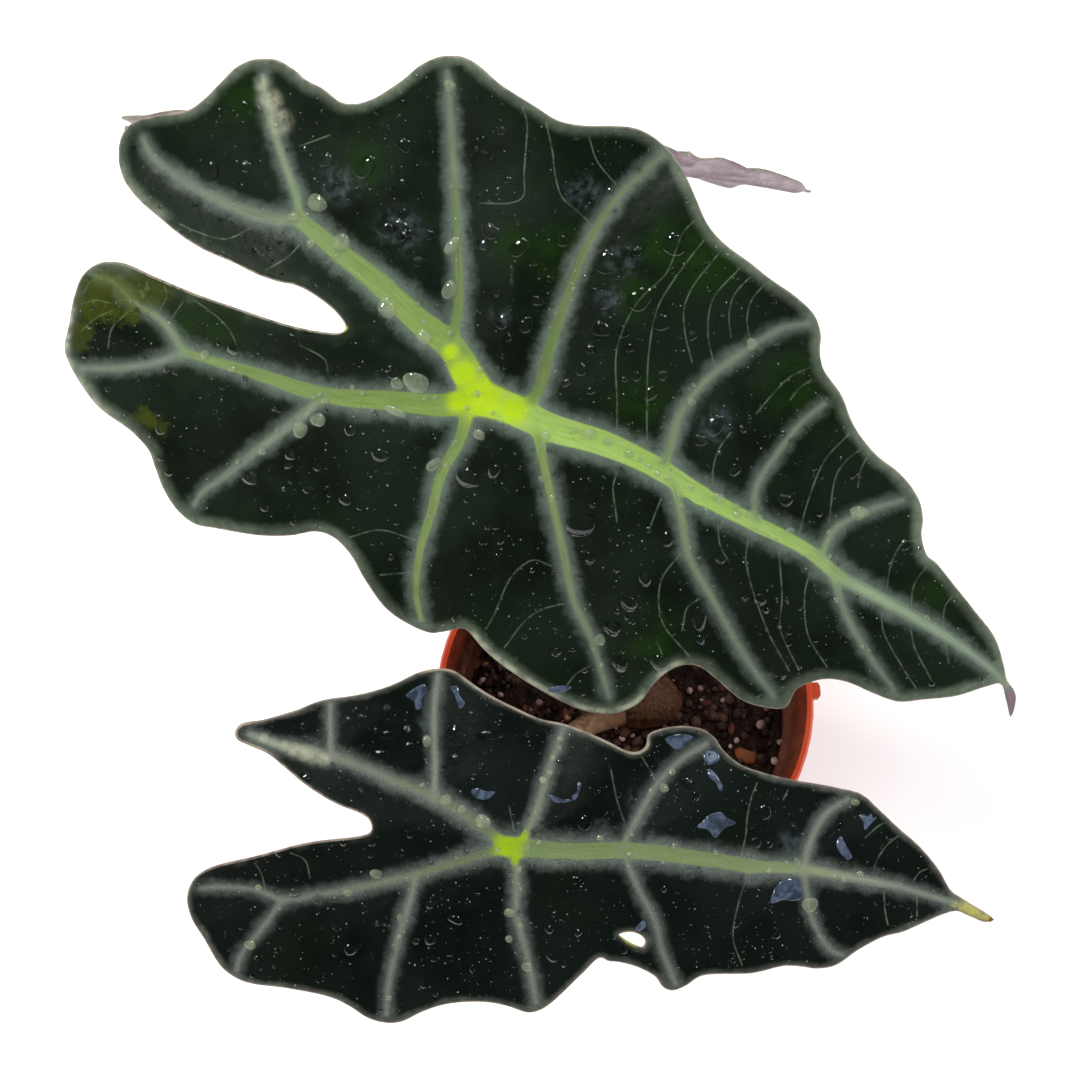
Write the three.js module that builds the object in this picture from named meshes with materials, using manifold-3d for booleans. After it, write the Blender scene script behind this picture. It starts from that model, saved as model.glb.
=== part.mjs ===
// A polly alocasia in a plastic nursery pot: three leaves on stalks that rise from one plant base.
// Millimetres, Z up, the origin at the centre of the pot's underside.
import * as THREE from 'three';
import Module from 'manifold-3d';

const wasm = await Module();
wasm.setup();

// Driving dimensions
const GAP = 0.3; // clearance left between pieces that seat on each other

const POT_HEIGHT = 105;
const POT_RIM_RADIUS = 60;
const POT_FOOT_RADIUS = 43;
const POT_WALL = 1.3;
const POT_FLOOR = 1.8;
const FOOT_EDGE = 1.2; // bevel round the underside
const COLLAR_HEIGHT = 20; // the wider band below the rim
const COLLAR_STEP = 2;
const COLLAR_FLARE = 0.9; // how much wider the band is at its top
const LIP_WIDTH = 2.6;
const LIP_HEIGHT = 3.4;
const TAB_PROUD = 2.2; // small tabs that stand out of the rim
const TAB_LENGTH = 5.2;
const TAB_ANGLES_DEG = [1.8, 181.8];
const DRAIN_COUNT = 6;
const DRAIN_RADIUS = 4;
const DRAIN_CIRCLE_RADIUS = 30;
const DRAIN_SIDES = 16;
const ROUND_SEGMENTS = 60;

const SOIL_LEVEL = 78.5; // height of the soil at the pot's axis
const SOIL_SLOPE = 0.1; // the soil lies higher towards +X
const SOIL_RING_SHARES = [1, 0.93, 0.82, 0.69, 0.56, 0.42, 0.28, 0.14];
const MOUND_HEIGHT = 2.5; // soil heaped round the plant base
const MOUND_REACH = 22;
const SOIL_LUMPS = 58;
const LUMP_SPREAD = 49;
const LUMP_SIZE = [1.3, 3.2];

const CORM_CENTRE = [5.5, 3.5];
const CORM_HALF_WIDTH = 14.5;
const CORM_HALF_DEPTH = 9.6;
const CORM_BOTTOM = 58;
const CORM_TOP = 94;
const CORM_SIDES = 22;
// Share of its height, share of its width
const CORM_SHAPE = [[0, 0.72], [0.12, 0.9], [0.4, 1], [0.72, 1], [0.88, 0.88], [0.96, 0.62], [0.995, 0.28]];
const SOCKET_BOTTOM = 84;

const STALK_FOOT_RADIUS = 3.5;
const STALK_TOP_RADIUS = 2.6;
const STALK_SWELL = 0.35; // the sheath's bulge just above the foot
const STALK_SIDES = 10;
const STALK_RINGS = 15;

const BLADE_THICKNESS = 0.9;
const QUILT_HEIGHT = 2.6; // how far the blade domes up between two ribs
const QUILT_REACH = 8.5;
const EDGE_WAVE = 1.9; // extra rise of the margin midway between two rib ends
const EDGE_REACH = 11;
const KEEL_RADIUS = 9; // rounding of the fold along the midrib

// The outlines are held as they are seen from one place: an eye above and in front of the plant,
// looking down at a slope, and a square view whose pixels have this focal length.
const EYE = new THREE.Vector3(-27, -116, 622);
const VIEW_SLOPE_DEG = 72;
const VIEW_FOCAL_PX = 1662;
const VIEW_CENTRE_PX = 540;

// Large blade: distance of its stalk's seat from the eye, then how it droops, in mm and mm per mm
const LARGE = {
  seatPx: [480, 398],
  tipPx: [1004, 682],
  depth: 413,
  tipReach: 148,
  tipDrop: 35,
  lobeReach: 105,
  lobeDrop: 9,
  farSlope: -0.17,
  nearSlope: 0.6,
};

const LARGE_MARGIN_PX = [
  [346, 328], [340, 316], [320, 298], [297, 285], [278, 281], [257, 273.5], [234, 262],
  [203, 248.5], [180, 234], [157, 215], [138, 198], [124, 179], [118.5, 157], [121.5, 136],
  [132, 123], [153, 116.5], [186, 111], [203, 100], [220, 83], [236, 67.5], [252, 60], [264, 59],
  [276, 60], [295, 71], [304, 79], [323, 89], [340, 102], [353, 104], [371, 99.5], [401, 81],
  [421, 65], [439, 57], [450, 56], [462, 57], [478, 65.5], [499, 83.5], [533, 105], [558, 120.5],
  [583, 125.5], [610, 126], [637, 129], [656, 139], [673, 155.5], [686, 176.5], [697, 201],
  [708, 225], [724, 243.5], [751, 263.5], [770, 279], [797, 298], [815, 316], [821, 335],
  [820, 352], [824, 370], [841, 395], [854, 426], [876, 455], [901, 475], [919, 500], [923, 520],
  [921.5, 535], [927.5, 556], [936.5, 563.5], [954, 585], [977, 614], [995.5, 639], [1004.5, 668],
  [1007, 680], [1014.5, 691], [1016, 699], [1011, 717], [1007, 700], [1001.5, 684], [985, 687],
  [956, 696], [923, 699.5], [898, 701.5], [874, 693.5], [847, 682], [825, 679], [805, 684.5],
  [796, 690], [788, 705], [783, 708.5], [760, 706.5], [740, 699], [714, 677], [700, 667],
  [688, 664.5], [673, 668.5], [655, 682.5], [639, 703], [617, 713], [604, 714], [580, 709.5],
  [543, 691.5], [506, 668], [484, 649.5], [468, 631], [464, 628.5], [445, 631.5], [431, 633],
  [410, 625], [386, 608.5], [365, 580], [350, 554], [333, 537], [316, 531.5], [291, 535.5],
  [260, 535.5], [217, 528.5], [195, 524], [178, 511], [164, 490], [154.5, 466], [149, 451],
  [132, 432], [99, 407.5], [81, 384.5], [67, 358.5], [64.5, 347], [69, 324], [74, 297],
  [82.5, 275.5], [98, 264], [121, 263.5], [155, 278], [192, 293.5], [228, 306], [289, 326],
  [322, 332.5], [340, 333],
];

// Each rib of the large blade, with the height of its ridge on the underside
const LARGE_RIBS = [
  { ridge: 2.0, px: [[480, 398], [510, 408], [549, 427], [600, 442], [650, 464], [700, 495]] },
  { ridge: 1.6, px: [[700, 495], [750, 521], [807, 550], [836, 574], [878, 597]] },
  { ridge: 1.0, px: [[878, 597], [923, 622], [968, 651], [1001, 679], [1010, 698]] },
  { ridge: 1.8, px: [[480, 398], [468, 374], [451, 347], [419, 321], [376, 281], [334, 248], [299, 219]] },
  { ridge: 1.0, px: [[299, 219], [297, 199], [289, 176], [276, 138], [266, 101], [263, 75]] },
  { ridge: 1.0, px: [[299, 219], [270, 218], [226, 203], [184, 180], [150, 153], [143, 138]] },
  { ridge: 1.3, px: [[451, 347], [457, 317], [459, 289], [457, 231], [454, 174], [449, 103], [447, 72]] },
  { ridge: 1.3, px: [[522, 410], [537, 393], [549, 351], [568, 294], [585, 250], [616, 199], [662, 155]] },
  { ridge: 1.3, px: [[663, 468], [672, 441], [678, 418], [702, 384], [751, 346], [782, 328], [808, 323]] },
  { ridge: 1.1, px: [[755, 523], [756, 488], [778, 452], [804, 420], [824, 404]] },
  { ridge: 1.0, px: [[820, 560], [834, 530], [870, 510], [903, 500]] },
  { ridge: 1.8, px: [[480, 398], [445, 405], [396, 401], [325, 395], [257, 374], [184, 352]] },
  { ridge: 1.0, px: [[184, 352], [163, 322], [133, 301], [109, 279], [96, 276]] },
  { ridge: 1.0, px: [[184, 352], [157, 362], [117, 368], [81, 368]] },
  { ridge: 1.1, px: [[325, 395], [299, 418], [257, 450], [218, 481], [203, 491], [194, 505]] },
  { ridge: 1.3, px: [[468, 403], [461, 437], [442, 472], [432, 510], [420, 550], [416, 592], [421, 620]] },
  { ridge: 1.3, px: [[536, 421], [543, 460], [553, 506], [564, 556], [574, 602], [590, 636], [609, 697]] },
  { ridge: 1.3, px: [[672, 478], [681, 514], [689, 556], [712, 598], [735, 640], [756, 673], [774, 696]] },
  { ridge: 1.1, px: [[832, 571], [845, 612], [867, 652], [894, 690]] },
];

const SMALL = {
  seatPx: [508, 847],
  tipPx: [957, 903],
  depth: 437,
  tipReach: 122,
  tipDrop: 25,
  lobeReach: 84,
  lobeDrop: 7,
  farSlope: 0.22,
  nearSlope: 0.28,
};

const SMALL_MARGIN_PX = [
  [372, 829], [369, 819], [361, 813], [336, 803], [307, 785], [284, 766], [268, 753.5],
  [248, 744.5], [237, 739], [235, 732], [241, 724], [263, 720], [293, 711.5], [321, 700.5],
  [359, 694.5], [392, 685], [420, 672], [438, 668.5], [452, 670], [472, 683.5], [490, 695],
  [518, 709], [541, 719], [563, 723.5], [588, 732.5], [612, 743.5], [627, 751], [639, 752],
  [647, 746], [649, 735], [665, 728.5], [688, 726.5], [705, 730.5], [716, 739], [722, 748.5],
  [740, 764], [763, 772.5], [793, 780], [838, 788], [862, 794.5], [878, 808.5], [898, 827.5],
  [919, 846], [939, 870], [951, 890.5], [967, 901.5], [994, 920], [985, 922], [971, 916.5],
  [957, 911], [945, 913.5], [902, 932], [884, 936.5], [858, 950], [836, 965], [818, 968.5],
  [797, 966], [783, 966], [753, 973], [701, 976], [686, 985.5], [672, 990.5], [663, 987],
  [657, 978], [640, 968], [619, 962], [608, 961], [600.5, 957.5], [582, 974], [550, 1004],
  [539, 1010.5], [528, 1012.5], [507, 1006], [484, 1002], [447, 1004], [423, 1011.5],
  [402, 1021.5], [388, 1023], [369, 1018.5], [350, 1006.5], [331, 997.5], [289, 988.5],
  [244, 981.5], [222.5, 968], [204, 938.5], [191.5, 918], [187, 898], [193, 880.5], [208, 869.5],
  [258, 856.5], [307, 843.5], [359, 837], [369, 834],
];

// The hole torn beside one rib of the small blade
const SMALL_TEAR_PX = [
  [619, 934.5], [624, 932.5], [633, 932], [642, 936], [646, 941], [644, 947.5], [637, 946], [628, 941.5],
];

const SMALL_RIBS = [
  { ridge: 1.9, px: [[508, 847], [569, 851], [635, 851], [704, 859], [749, 866]] },
  { ridge: 1.4, px: [[749, 866], [803, 869], [850, 877], [898, 886]] },
  { ridge: 0.9, px: [[898, 886], [941, 899], [972, 908], [985, 917]] },
  { ridge: 1.6, px: [[508, 847], [477, 823], [434, 797], [392, 780], [345, 760], [312, 751]] },
  { ridge: 0.9, px: [[312, 751], [274, 743], [250, 734]] },
  { ridge: 1.1, px: [[434, 797], [435, 766], [434, 743], [435, 695], [438, 675]] },
  { ridge: 0.9, px: [[331, 756], [330, 728], [330, 705]] },
  { ridge: 1.1, px: [[520, 848], [536, 811], [550, 765], [564, 727]] },
  { ridge: 1.1, px: [[620, 851], [635, 822], [658, 783], [683, 758], [706, 744]] },
  { ridge: 1.0, px: [[803, 869], [809, 846], [817, 827], [829, 811], [848, 799]] },
  { ridge: 1.6, px: [[508, 847], [463, 860], [416, 874], [369, 885], [322, 894], [282, 900]] },
  { ridge: 0.9, px: [[282, 900], [256, 890], [222, 887], [200, 888]] },
  { ridge: 0.9, px: [[282, 900], [263, 927], [241, 955], [236, 970]] },
  { ridge: 1.1, px: [[416, 874], [411, 896], [397, 943], [388, 990], [386, 1014]] },
  { ridge: 1.1, px: [[513, 847], [517, 887], [516, 910], [527, 956], [536, 1002]] },
  { ridge: 1.1, px: [[623, 851], [635, 882], [656, 923], [661, 947], [670, 970], [675, 983]] },
  { ridge: 1.0, px: [[803, 869], [812, 918], [830, 949], [842, 955]] },
];

// Blade behind: the large blade's plan made smaller, mirrored and stood nearly edge-on to the eye
const BACK_LOBE = { px: [114, 109], depth: 460 };
const BACK_TIP = { px: [829, 173], depth: 560 };
const BACK_SEAT_SHARE = 0.407; // where along the leaf its stalk seats
const BACK_SCALE = 0.887;
const BACK_TILT_DEG = 5.5;
const BACK_RELIEF = 0.6; // its waves, as a share of the large blade's
const BACK = { tipReach: 148, tipDrop: 6, lobeReach: 105, lobeDrop: 3.5, farSlope: 0.04, nearSlope: 0.04 };

// Spacing of the points that the blades are drawn through
const LARGE_SPACING = { margin: 3.6, rib: 4.8, side: 7.2, fill: 7.2 };
const SMALL_SPACING = { margin: 3.3, rib: 4.2, side: 6, fill: 6.2 };
const BACK_SPACING = { margin: 4.6, rib: 7, side: 10.5, fill: 9.5 };
const RIB_SIDE = 2.5; // half width of a rib's ridge
const POINT_GAP = 1.5; // points closer than this are one
const FILL_ROWS = 40;

// Colours
const TERRACOTTA = 0xd9501f;
const DARK_SOIL = 0x33211b;
const BROWN_CORM = 0x4a2f20;
const PINK_STALK = 0x7d5a48;
const GREEN_STALK = 0x8d9a62;
const DARK_LEAF = 0x22322a;
const PURPLE_LEAF = 0x4a3a44;

const slope = THREE.MathUtils.degToRad(VIEW_SLOPE_DEG);
const VIEW_UP = new THREE.Vector3(0, Math.sin(slope), Math.cos(slope));
const VIEW_AHEAD = new THREE.Vector3(0, Math.cos(slope), -Math.sin(slope));

// The point seen at a pixel, at a depth along the view's axis
function sightPoint([px, py], depth) {
  const right = (px - VIEW_CENTRE_PX) / VIEW_FOCAL_PX;
  const up = (VIEW_CENTRE_PX - py) / VIEW_FOCAL_PX;
  const ray = new THREE.Vector3(right, 0, 0).addScaledVector(VIEW_UP, up).add(VIEW_AHEAD);
  return EYE.clone().addScaledVector(ray, depth);
}

// Seeded draw between 0 and 1
function makeRandom(seed) {
  let state = seed;
  return () => {
    state = (state + 0x6d2b79f5) | 0;
    let t = Math.imul(state ^ (state >>> 15), 1 | state);
    t = (t + Math.imul(t ^ (t >>> 7), 61 | t)) ^ t;
    return ((t ^ (t >>> 14)) >>> 0) / 4294967296;
  };
}

function toSolid(vertices, faces) {
  const vertProperties = new Float32Array(vertices.flat());
  const triVerts = new Uint32Array(faces.flat());
  return new wasm.Manifold(new wasm.Mesh({ numProp: 3, vertProperties, triVerts }));
}

// Solid from a closed geometry whose triangles share no points
function geometrySolid(geometry) {
  const place = geometry.getAttribute('position');
  const [vertices, faces, known] = [[], [], new Map()];
  for (let i = 0; i < place.count; i += 1) {
    const point = [place.getX(i), place.getY(i), place.getZ(i)];
    const key = point.map((value) => value.toFixed(3)).join();
    if (!known.has(key)) {
      known.set(key, vertices.push(point) - 1);
    }
    if (i % 3 === 0) {
      faces.push([]);
    }
    faces[faces.length - 1].push(known.get(key));
  }
  return toSolid(vertices, faces);
}

function toNode(name, solid, colour, roughness) {
  const { numProp, vertProperties, triVerts } = solid.getMesh();
  const positions = new Float32Array((vertProperties.length / numProp) * 3);
  for (let i = 0; i < positions.length / 3; i += 1) {
    positions.set(vertProperties.subarray(i * numProp, i * numProp + 3), i * 3);
  }
  const geometry = new THREE.BufferGeometry();
  geometry.setAttribute('position', new THREE.BufferAttribute(positions, 3));
  geometry.setIndex(new THREE.BufferAttribute(new Uint32Array(triVerts), 1));
  geometry.computeVertexNormals();
  const material = new THREE.MeshStandardMaterial({ color: colour, roughness, metalness: 0 });
  const node = new THREE.Mesh(geometry, material);
  node.name = name;
  return node;
}

// Closed solid through rings of points, each ring listed anticlockwise seen from the last one
function skinRings(rings, start, end) {
  const sides = rings[0].length;
  const vertices = [start, ...rings.flat(), end];
  const last = vertices.length - 1;
  const faces = [];
  const at = (ring, side) => 1 + ring * sides + (side % sides);
  for (let s = 0; s < sides; s += 1) {
    faces.push([0, at(0, s + 1), at(0, s)]);
    faces.push([last, at(rings.length - 1, s), at(rings.length - 1, s + 1)]);
    for (let r = 0; r + 1 < rings.length; r += 1) {
      faces.push([at(r, s), at(r, s + 1), at(r + 1, s + 1)]);
      faces.push([at(r, s), at(r + 1, s + 1), at(r + 1, s)]);
    }
  }
  return toSolid(vertices, faces);
}

function circleRing(radius, z, sides = ROUND_SEGMENTS) {
  const ring = [];
  for (let s = 0; s < sides; s += 1) {
    const angle = (s / sides) * 2 * Math.PI;
    ring.push([radius * Math.cos(angle), radius * Math.sin(angle), z]);
  }
  return ring;
}

// Pot
const COLLAR_BOTTOM = POT_HEIGHT - COLLAR_HEIGHT;
const WALL_TOP_RADIUS = POT_RIM_RADIUS - LIP_WIDTH - COLLAR_STEP - COLLAR_FLARE;

function outerWallRadius(z) {
  return POT_FOOT_RADIUS + ((WALL_TOP_RADIUS - POT_FOOT_RADIUS) * z) / COLLAR_BOTTOM;
}

function potBody() {
  const bandRadius = WALL_TOP_RADIUS + COLLAR_STEP;
  const lipBottom = POT_HEIGHT - LIP_HEIGHT;
  const outside = [
    circleRing(POT_FOOT_RADIUS - FOOT_EDGE, 0),
    circleRing(outerWallRadius(FOOT_EDGE), FOOT_EDGE),
    circleRing(WALL_TOP_RADIUS, COLLAR_BOTTOM),
    circleRing(bandRadius, COLLAR_BOTTOM + 2),
    circleRing(bandRadius + COLLAR_FLARE, lipBottom - 1),
    circleRing(POT_RIM_RADIUS, lipBottom),
    circleRing(POT_RIM_RADIUS, POT_HEIGHT - 1),
    circleRing(POT_RIM_RADIUS - 0.8, POT_HEIGHT),
    circleRing(POT_RIM_RADIUS - LIP_WIDTH + 0.4, POT_HEIGHT),
  ];
  const inside = [
    circleRing(POT_RIM_RADIUS - LIP_WIDTH, POT_HEIGHT - 0.8),
    circleRing(bandRadius + COLLAR_FLARE - POT_WALL, lipBottom - 1),
    circleRing(bandRadius - POT_WALL, COLLAR_BOTTOM + 2.4),
    circleRing(WALL_TOP_RADIUS - POT_WALL, COLLAR_BOTTOM + 0.4),
    circleRing(outerWallRadius(POT_FLOOR) - POT_WALL, POT_FLOOR),
  ];
  return skinRings([...outside, ...inside], [0, 0, 0], [0, 0, POT_FLOOR]);
}

// Upright bar with a flat top, given its plan and its two heights
function prism(plan, low, high) {
  const rings = [low, high].map((z) => plan.map(([x, y]) => [x, y, z]));
  const centre = [0, 1].map((axis) => plan.reduce((sum, place) => sum + place[axis] / plan.length, 0));
  return skinRings(rings, [...centre, low], [...centre, high]);
}

function turnPlan(plan, angle) {
  const [c, s] = [Math.cos(angle), Math.sin(angle)];
  return plan.map(([x, y]) => [x * c - y * s, x * s + y * c]);
}

function rimTab(angleDeg) {
  const half = TAB_LENGTH / 2;
  const [root, tip] = [POT_RIM_RADIUS - 1, POT_RIM_RADIUS + TAB_PROUD];
  const plan = [
    [root, -half], [tip - 0.7, -half], [tip, -half + 1],
    [tip, half - 1], [tip - 0.7, half], [root, half],
  ];
  const turned = turnPlan(plan, THREE.MathUtils.degToRad(angleDeg));
  return prism(turned, POT_HEIGHT - LIP_HEIGHT + 0.3, POT_HEIGHT - 0.6);
}

function drainHole(index) {
  const angle = ((index + 0.5) / DRAIN_COUNT) * 2 * Math.PI;
  const centre = [DRAIN_CIRCLE_RADIUS * Math.cos(angle), DRAIN_CIRCLE_RADIUS * Math.sin(angle)];
  const plan = circleRing(DRAIN_RADIUS, 0, DRAIN_SIDES).map(([x, y]) => [x + centre[0], y + centre[1]]);
  return prism(plan, -1, POT_FLOOR + 1);
}

function buildPot() {
  let pot = potBody();
  for (const angle of TAB_ANGLES_DEG) {
    pot = pot.add(rimTab(angle));
  }
  for (let i = 0; i < DRAIN_COUNT; i += 1) {
    pot = pot.subtract(drainHole(i));
  }
  return pot;
}

// Soil
function soilHeight(x, y) {
  const wide = 0.7 * Math.sin(x * 0.21 + 1.3) * Math.cos(y * 0.17);
  const narrow = 0.5 * Math.sin(x * 0.43 - y * 0.31);
  const fromCorm = Math.hypot(x - CORM_CENTRE[0], y - CORM_CENTRE[1]);
  const mound = MOUND_HEIGHT * Math.exp(-((fromCorm / MOUND_REACH) ** 2));
  return SOIL_LEVEL + SOIL_SLOPE * x + wide + narrow + mound;
}

function soilRadius(z) {
  return outerWallRadius(z) - POT_WALL - GAP;
}

function soilBed() {
  const floor = POT_FLOOR + GAP;
  const rings = [circleRing(soilRadius(floor), floor)];
  const edgeRadius = soilRadius(SOIL_LEVEL);
  for (const share of SOIL_RING_SHARES) {
    const ring = circleRing(edgeRadius * share, 0).map(([x, y]) => {
      const z = Math.min(soilHeight(x, y), COLLAR_BOTTOM - 1);
      const stretch = share === 1 ? soilRadius(z) / edgeRadius : 1;
      return [x * stretch, y * stretch, z];
    });
    rings.push(ring);
  }
  return skinRings(rings, [0, 0, floor], [0, 0, soilHeight(0, 0)]);
}

function soilLump(random) {
  const angle = random() * 2 * Math.PI;
  const radius = LUMP_SPREAD * Math.sqrt(random());
  const [x, y] = [radius * Math.cos(angle), radius * Math.sin(angle)];
  const size = THREE.MathUtils.lerp(...LUMP_SIZE, random() ** 2);
  const lump = new THREE.IcosahedronGeometry(size, 0);
  const place = new THREE.Matrix4().compose(
    new THREE.Vector3(x, y, soilHeight(x, y) + 0.15 * size),
    new THREE.Quaternion().setFromEuler(new THREE.Euler(6 * random(), 6 * random(), 6 * random())),
    new THREE.Vector3(1, 0.8 + 0.4 * random(), 0.75),
  );
  return geometrySolid(lump.applyMatrix4(place));
}

function buildSoil() {
  const random = makeRandom(7);
  let soil = soilBed();
  for (let i = 0; i < SOIL_LUMPS; i += 1) {
    soil = soil.add(soilLump(random));
  }
  const [low, high] = [POT_FLOOR + GAP, POT_HEIGHT];
  const rings = [low, high].map((z) => circleRing(soilRadius(z), z));
  const potInside = skinRings(rings, [0, 0, low], [0, 0, high]);
  return soil.intersect(potInside).subtract(cormBody(GAP));
}

// Plant base: an oval stump with a rounded, lumpy head
function cormBody(clearance) {
  const [low, high] = [CORM_BOTTOM - clearance, CORM_TOP + clearance];
  const rings = CORM_SHAPE.map(([share, width], level) => {
    const ring = [];
    for (let s = 0; s < CORM_SIDES; s += 1) {
      const angle = (s / CORM_SIDES) * 2 * Math.PI;
      const lumpy = 1 + 0.035 * Math.sin(3 * angle + level) + 0.03 * Math.sin(5 * angle - 2 * level);
      const x = (CORM_HALF_WIDTH * width * lumpy + clearance) * Math.cos(angle);
      const y = (CORM_HALF_DEPTH * width * lumpy + clearance) * Math.sin(angle);
      ring.push([CORM_CENTRE[0] + x, CORM_CENTRE[1] + y, low + share * (high - low)]);
    }
    return ring;
  });
  return skinRings(rings, [...CORM_CENTRE, low], [...CORM_CENTRE, high]);
}

function buildCorm(stalkPaths) {
  let corm = cormBody(0);
  for (const path of stalkPaths) {
    corm = corm.subtract(stalkBody(path, GAP));
  }
  return corm;
}

// Stalks: a round section carried along a curve, thicker at the foot, with a rounded end
function stalkRadius(share) {
  const swell = STALK_SWELL * Math.exp(-(((share - 0.12) / 0.1) ** 2));
  return STALK_FOOT_RADIUS + (STALK_TOP_RADIUS - STALK_FOOT_RADIUS) * share + swell;
}

function stalkBody(path, clearance) {
  const curve = new THREE.CatmullRomCurve3(path, false, 'centripetal');
  const frames = curve.computeFrenetFrames(STALK_RINGS, false);
  const ringAt = (centre, index, radius) => {
    const ring = [];
    for (let s = 0; s < STALK_SIDES; s += 1) {
      const angle = (s / STALK_SIDES) * 2 * Math.PI;
      const point = centre.clone()
        .addScaledVector(frames.normals[index], radius * Math.cos(angle))
        .addScaledVector(frames.binormals[index], radius * Math.sin(angle));
      ring.push(point.toArray());
    }
    return ring;
  };
  const rings = [];
  const foot = curve.getPointAt(0).addScaledVector(frames.tangents[0], -clearance);
  for (let i = 0; i <= STALK_RINGS; i += 1) {
    const centre = i === 0 ? foot : curve.getPointAt(i / STALK_RINGS);
    rings.push(ringAt(centre, i, stalkRadius(i / STALK_RINGS) + clearance));
  }
  const end = curve.getPointAt(1);
  const ahead = frames.tangents[STALK_RINGS];
  const radius = STALK_TOP_RADIUS + clearance;
  for (const angle of [0.5, 1.05]) {
    const centre = end.clone().addScaledVector(ahead, radius * Math.sin(angle));
    rings.push(ringAt(centre, STALK_RINGS, radius * Math.cos(angle)));
  }
  return skinRings(rings, foot.toArray(), end.addScaledVector(ahead, radius).toArray());
}

// Smooth closed line through the outline's points, as evenly spaced points
function smoothLoop(points, spacing) {
  const corners = points.map(([x, y]) => new THREE.Vector3(x, y, 0));
  const curve = new THREE.CatmullRomCurve3(corners, true, 'centripetal');
  curve.arcLengthDivisions = 2000;
  const count = Math.round(curve.getLength() / spacing);
  return curve.getSpacedPoints(count).slice(0, count).map(({ x, y }) => [x, y]);
}

function smoothLine(points, spacing) {
  const corners = points.map(([x, y]) => new THREE.Vector3(x, y, 0));
  const curve = new THREE.CatmullRomCurve3(corners, false, 'centripetal');
  const count = Math.max(1, Math.round(curve.getLength() / spacing));
  return curve.getSpacedPoints(count).map(({ x, y }) => [x, y]);
}

// Plan of a blade in mm: first axis along the midrib to the tip, second to the far side
function planMaker(blade) {
  const scale = blade.depth / VIEW_FOCAL_PX;
  const [dx, dy] = [blade.tipPx[0] - blade.seatPx[0], blade.seatPx[1] - blade.tipPx[1]];
  const length = Math.hypot(dx, dy);
  const [c, s] = [dx / length, dy / length];
  const toPlan = ([px, py]) => {
    const [x, y] = [(px - blade.seatPx[0]) * scale, (blade.seatPx[1] - py) * scale];
    return [x * c + y * s, y * c - x * s];
  };
  const toPixel = ([a, b]) => {
    const [x, y] = [(a * c - b * s) / scale, (a * s + b * c) / scale];
    return [blade.seatPx[0] + x, blade.seatPx[1] - y];
  };
  return { toPlan, toPixel };
}

// How far a place on the blade has drooped away from the flat
function droop(blade, [a, b]) {
  const along = a > 0
    ? blade.tipDrop * (a / blade.tipReach) ** 1.6
    : blade.lobeDrop * (-a / blade.lobeReach) ** 1.6;
  const across = Math.sqrt(b * b + KEEL_RADIUS ** 2) - KEEL_RADIUS;
  return along + (b > 0 ? blade.farSlope : blade.nearSlope) * across;
}

function segmentDistance([x, y], [ax, ay], [bx, by]) {
  const [dx, dy] = [bx - ax, by - ay];
  const share = THREE.MathUtils.clamp(((x - ax) * dx + (y - ay) * dy) / (dx * dx + dy * dy), 0, 1);
  return Math.hypot(x - ax - share * dx, y - ay - share * dy);
}

function lineDistance(point, line) {
  let best = Infinity;
  for (let i = 0; i + 1 < line.length; i += 1) {
    best = Math.min(best, segmentDistance(point, line[i], line[i + 1]));
  }
  return best;
}

function insideLoop([x, y], loop) {
  let inside = false;
  for (let i = 0, j = loop.length - 1; i < loop.length; j = i, i += 1) {
    const [[ax, ay], [bx, by]] = [loop[i], loop[j]];
    if (ay > y !== by > y && x < ((bx - ax) * (y - ay)) / (by - ay) + ax) {
      inside = !inside;
    }
  }
  return inside;
}

// Keeps the points it is given, but for those too close to one it has
function makeSieve() {
  const kept = [];
  const cells = new Map();
  const cellOf = (value) => Math.floor(value / POINT_GAP);
  const isTaken = ([x, y]) => {
    for (const i of [-1, 0, 1]) {
      for (const j of [-1, 0, 1]) {
        const near = cells.get(`${cellOf(x) + i},${cellOf(y) + j}`) ?? [];
        if (near.some(([a, b]) => Math.hypot(a - x, b - y) < POINT_GAP)) {
          return true;
        }
      }
    }
    return false;
  };
  const add = (point) => {
    if (isTaken(point)) {
      return;
    }
    const key = point.map(cellOf).join();
    cells.set(key, [...(cells.get(key) ?? []), point]);
    kept.push(point);
  };
  return { kept, add };
}

// Points along both sides of a rib, at the foot of its ridge
function ribSides(rib, spacing) {
  const line = smoothLine(rib.line, spacing);
  const points = [];
  for (let i = 0; i + 1 < line.length; i += 1) {
    const [[ax, ay], [bx, by]] = [line[i], line[i + 1]];
    const length = Math.hypot(bx - ax, by - ay);
    const out = [(-(by - ay) / length) * RIB_SIDE, ((bx - ax) / length) * RIB_SIDE];
    for (const side of [-1, 1]) {
      points.push([(ax + bx) / 2 + side * out[0], (ay + by) / 2 + side * out[1]]);
    }
  }
  return points;
}

// Slightly uneven rows of points, wider than any blade
function fillRows(spacing) {
  const random = makeRandom(3);
  const points = [];
  for (let row = -FILL_ROWS; row < FILL_ROWS; row += 1) {
    for (let column = -FILL_ROWS; column < FILL_ROWS; column += 1) {
      const x = (column + (row % 2) / 2 + 0.2 * random()) * spacing;
      points.push([x, (row * 0.87 + 0.2 * random()) * spacing]);
    }
  }
  return points;
}

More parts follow.
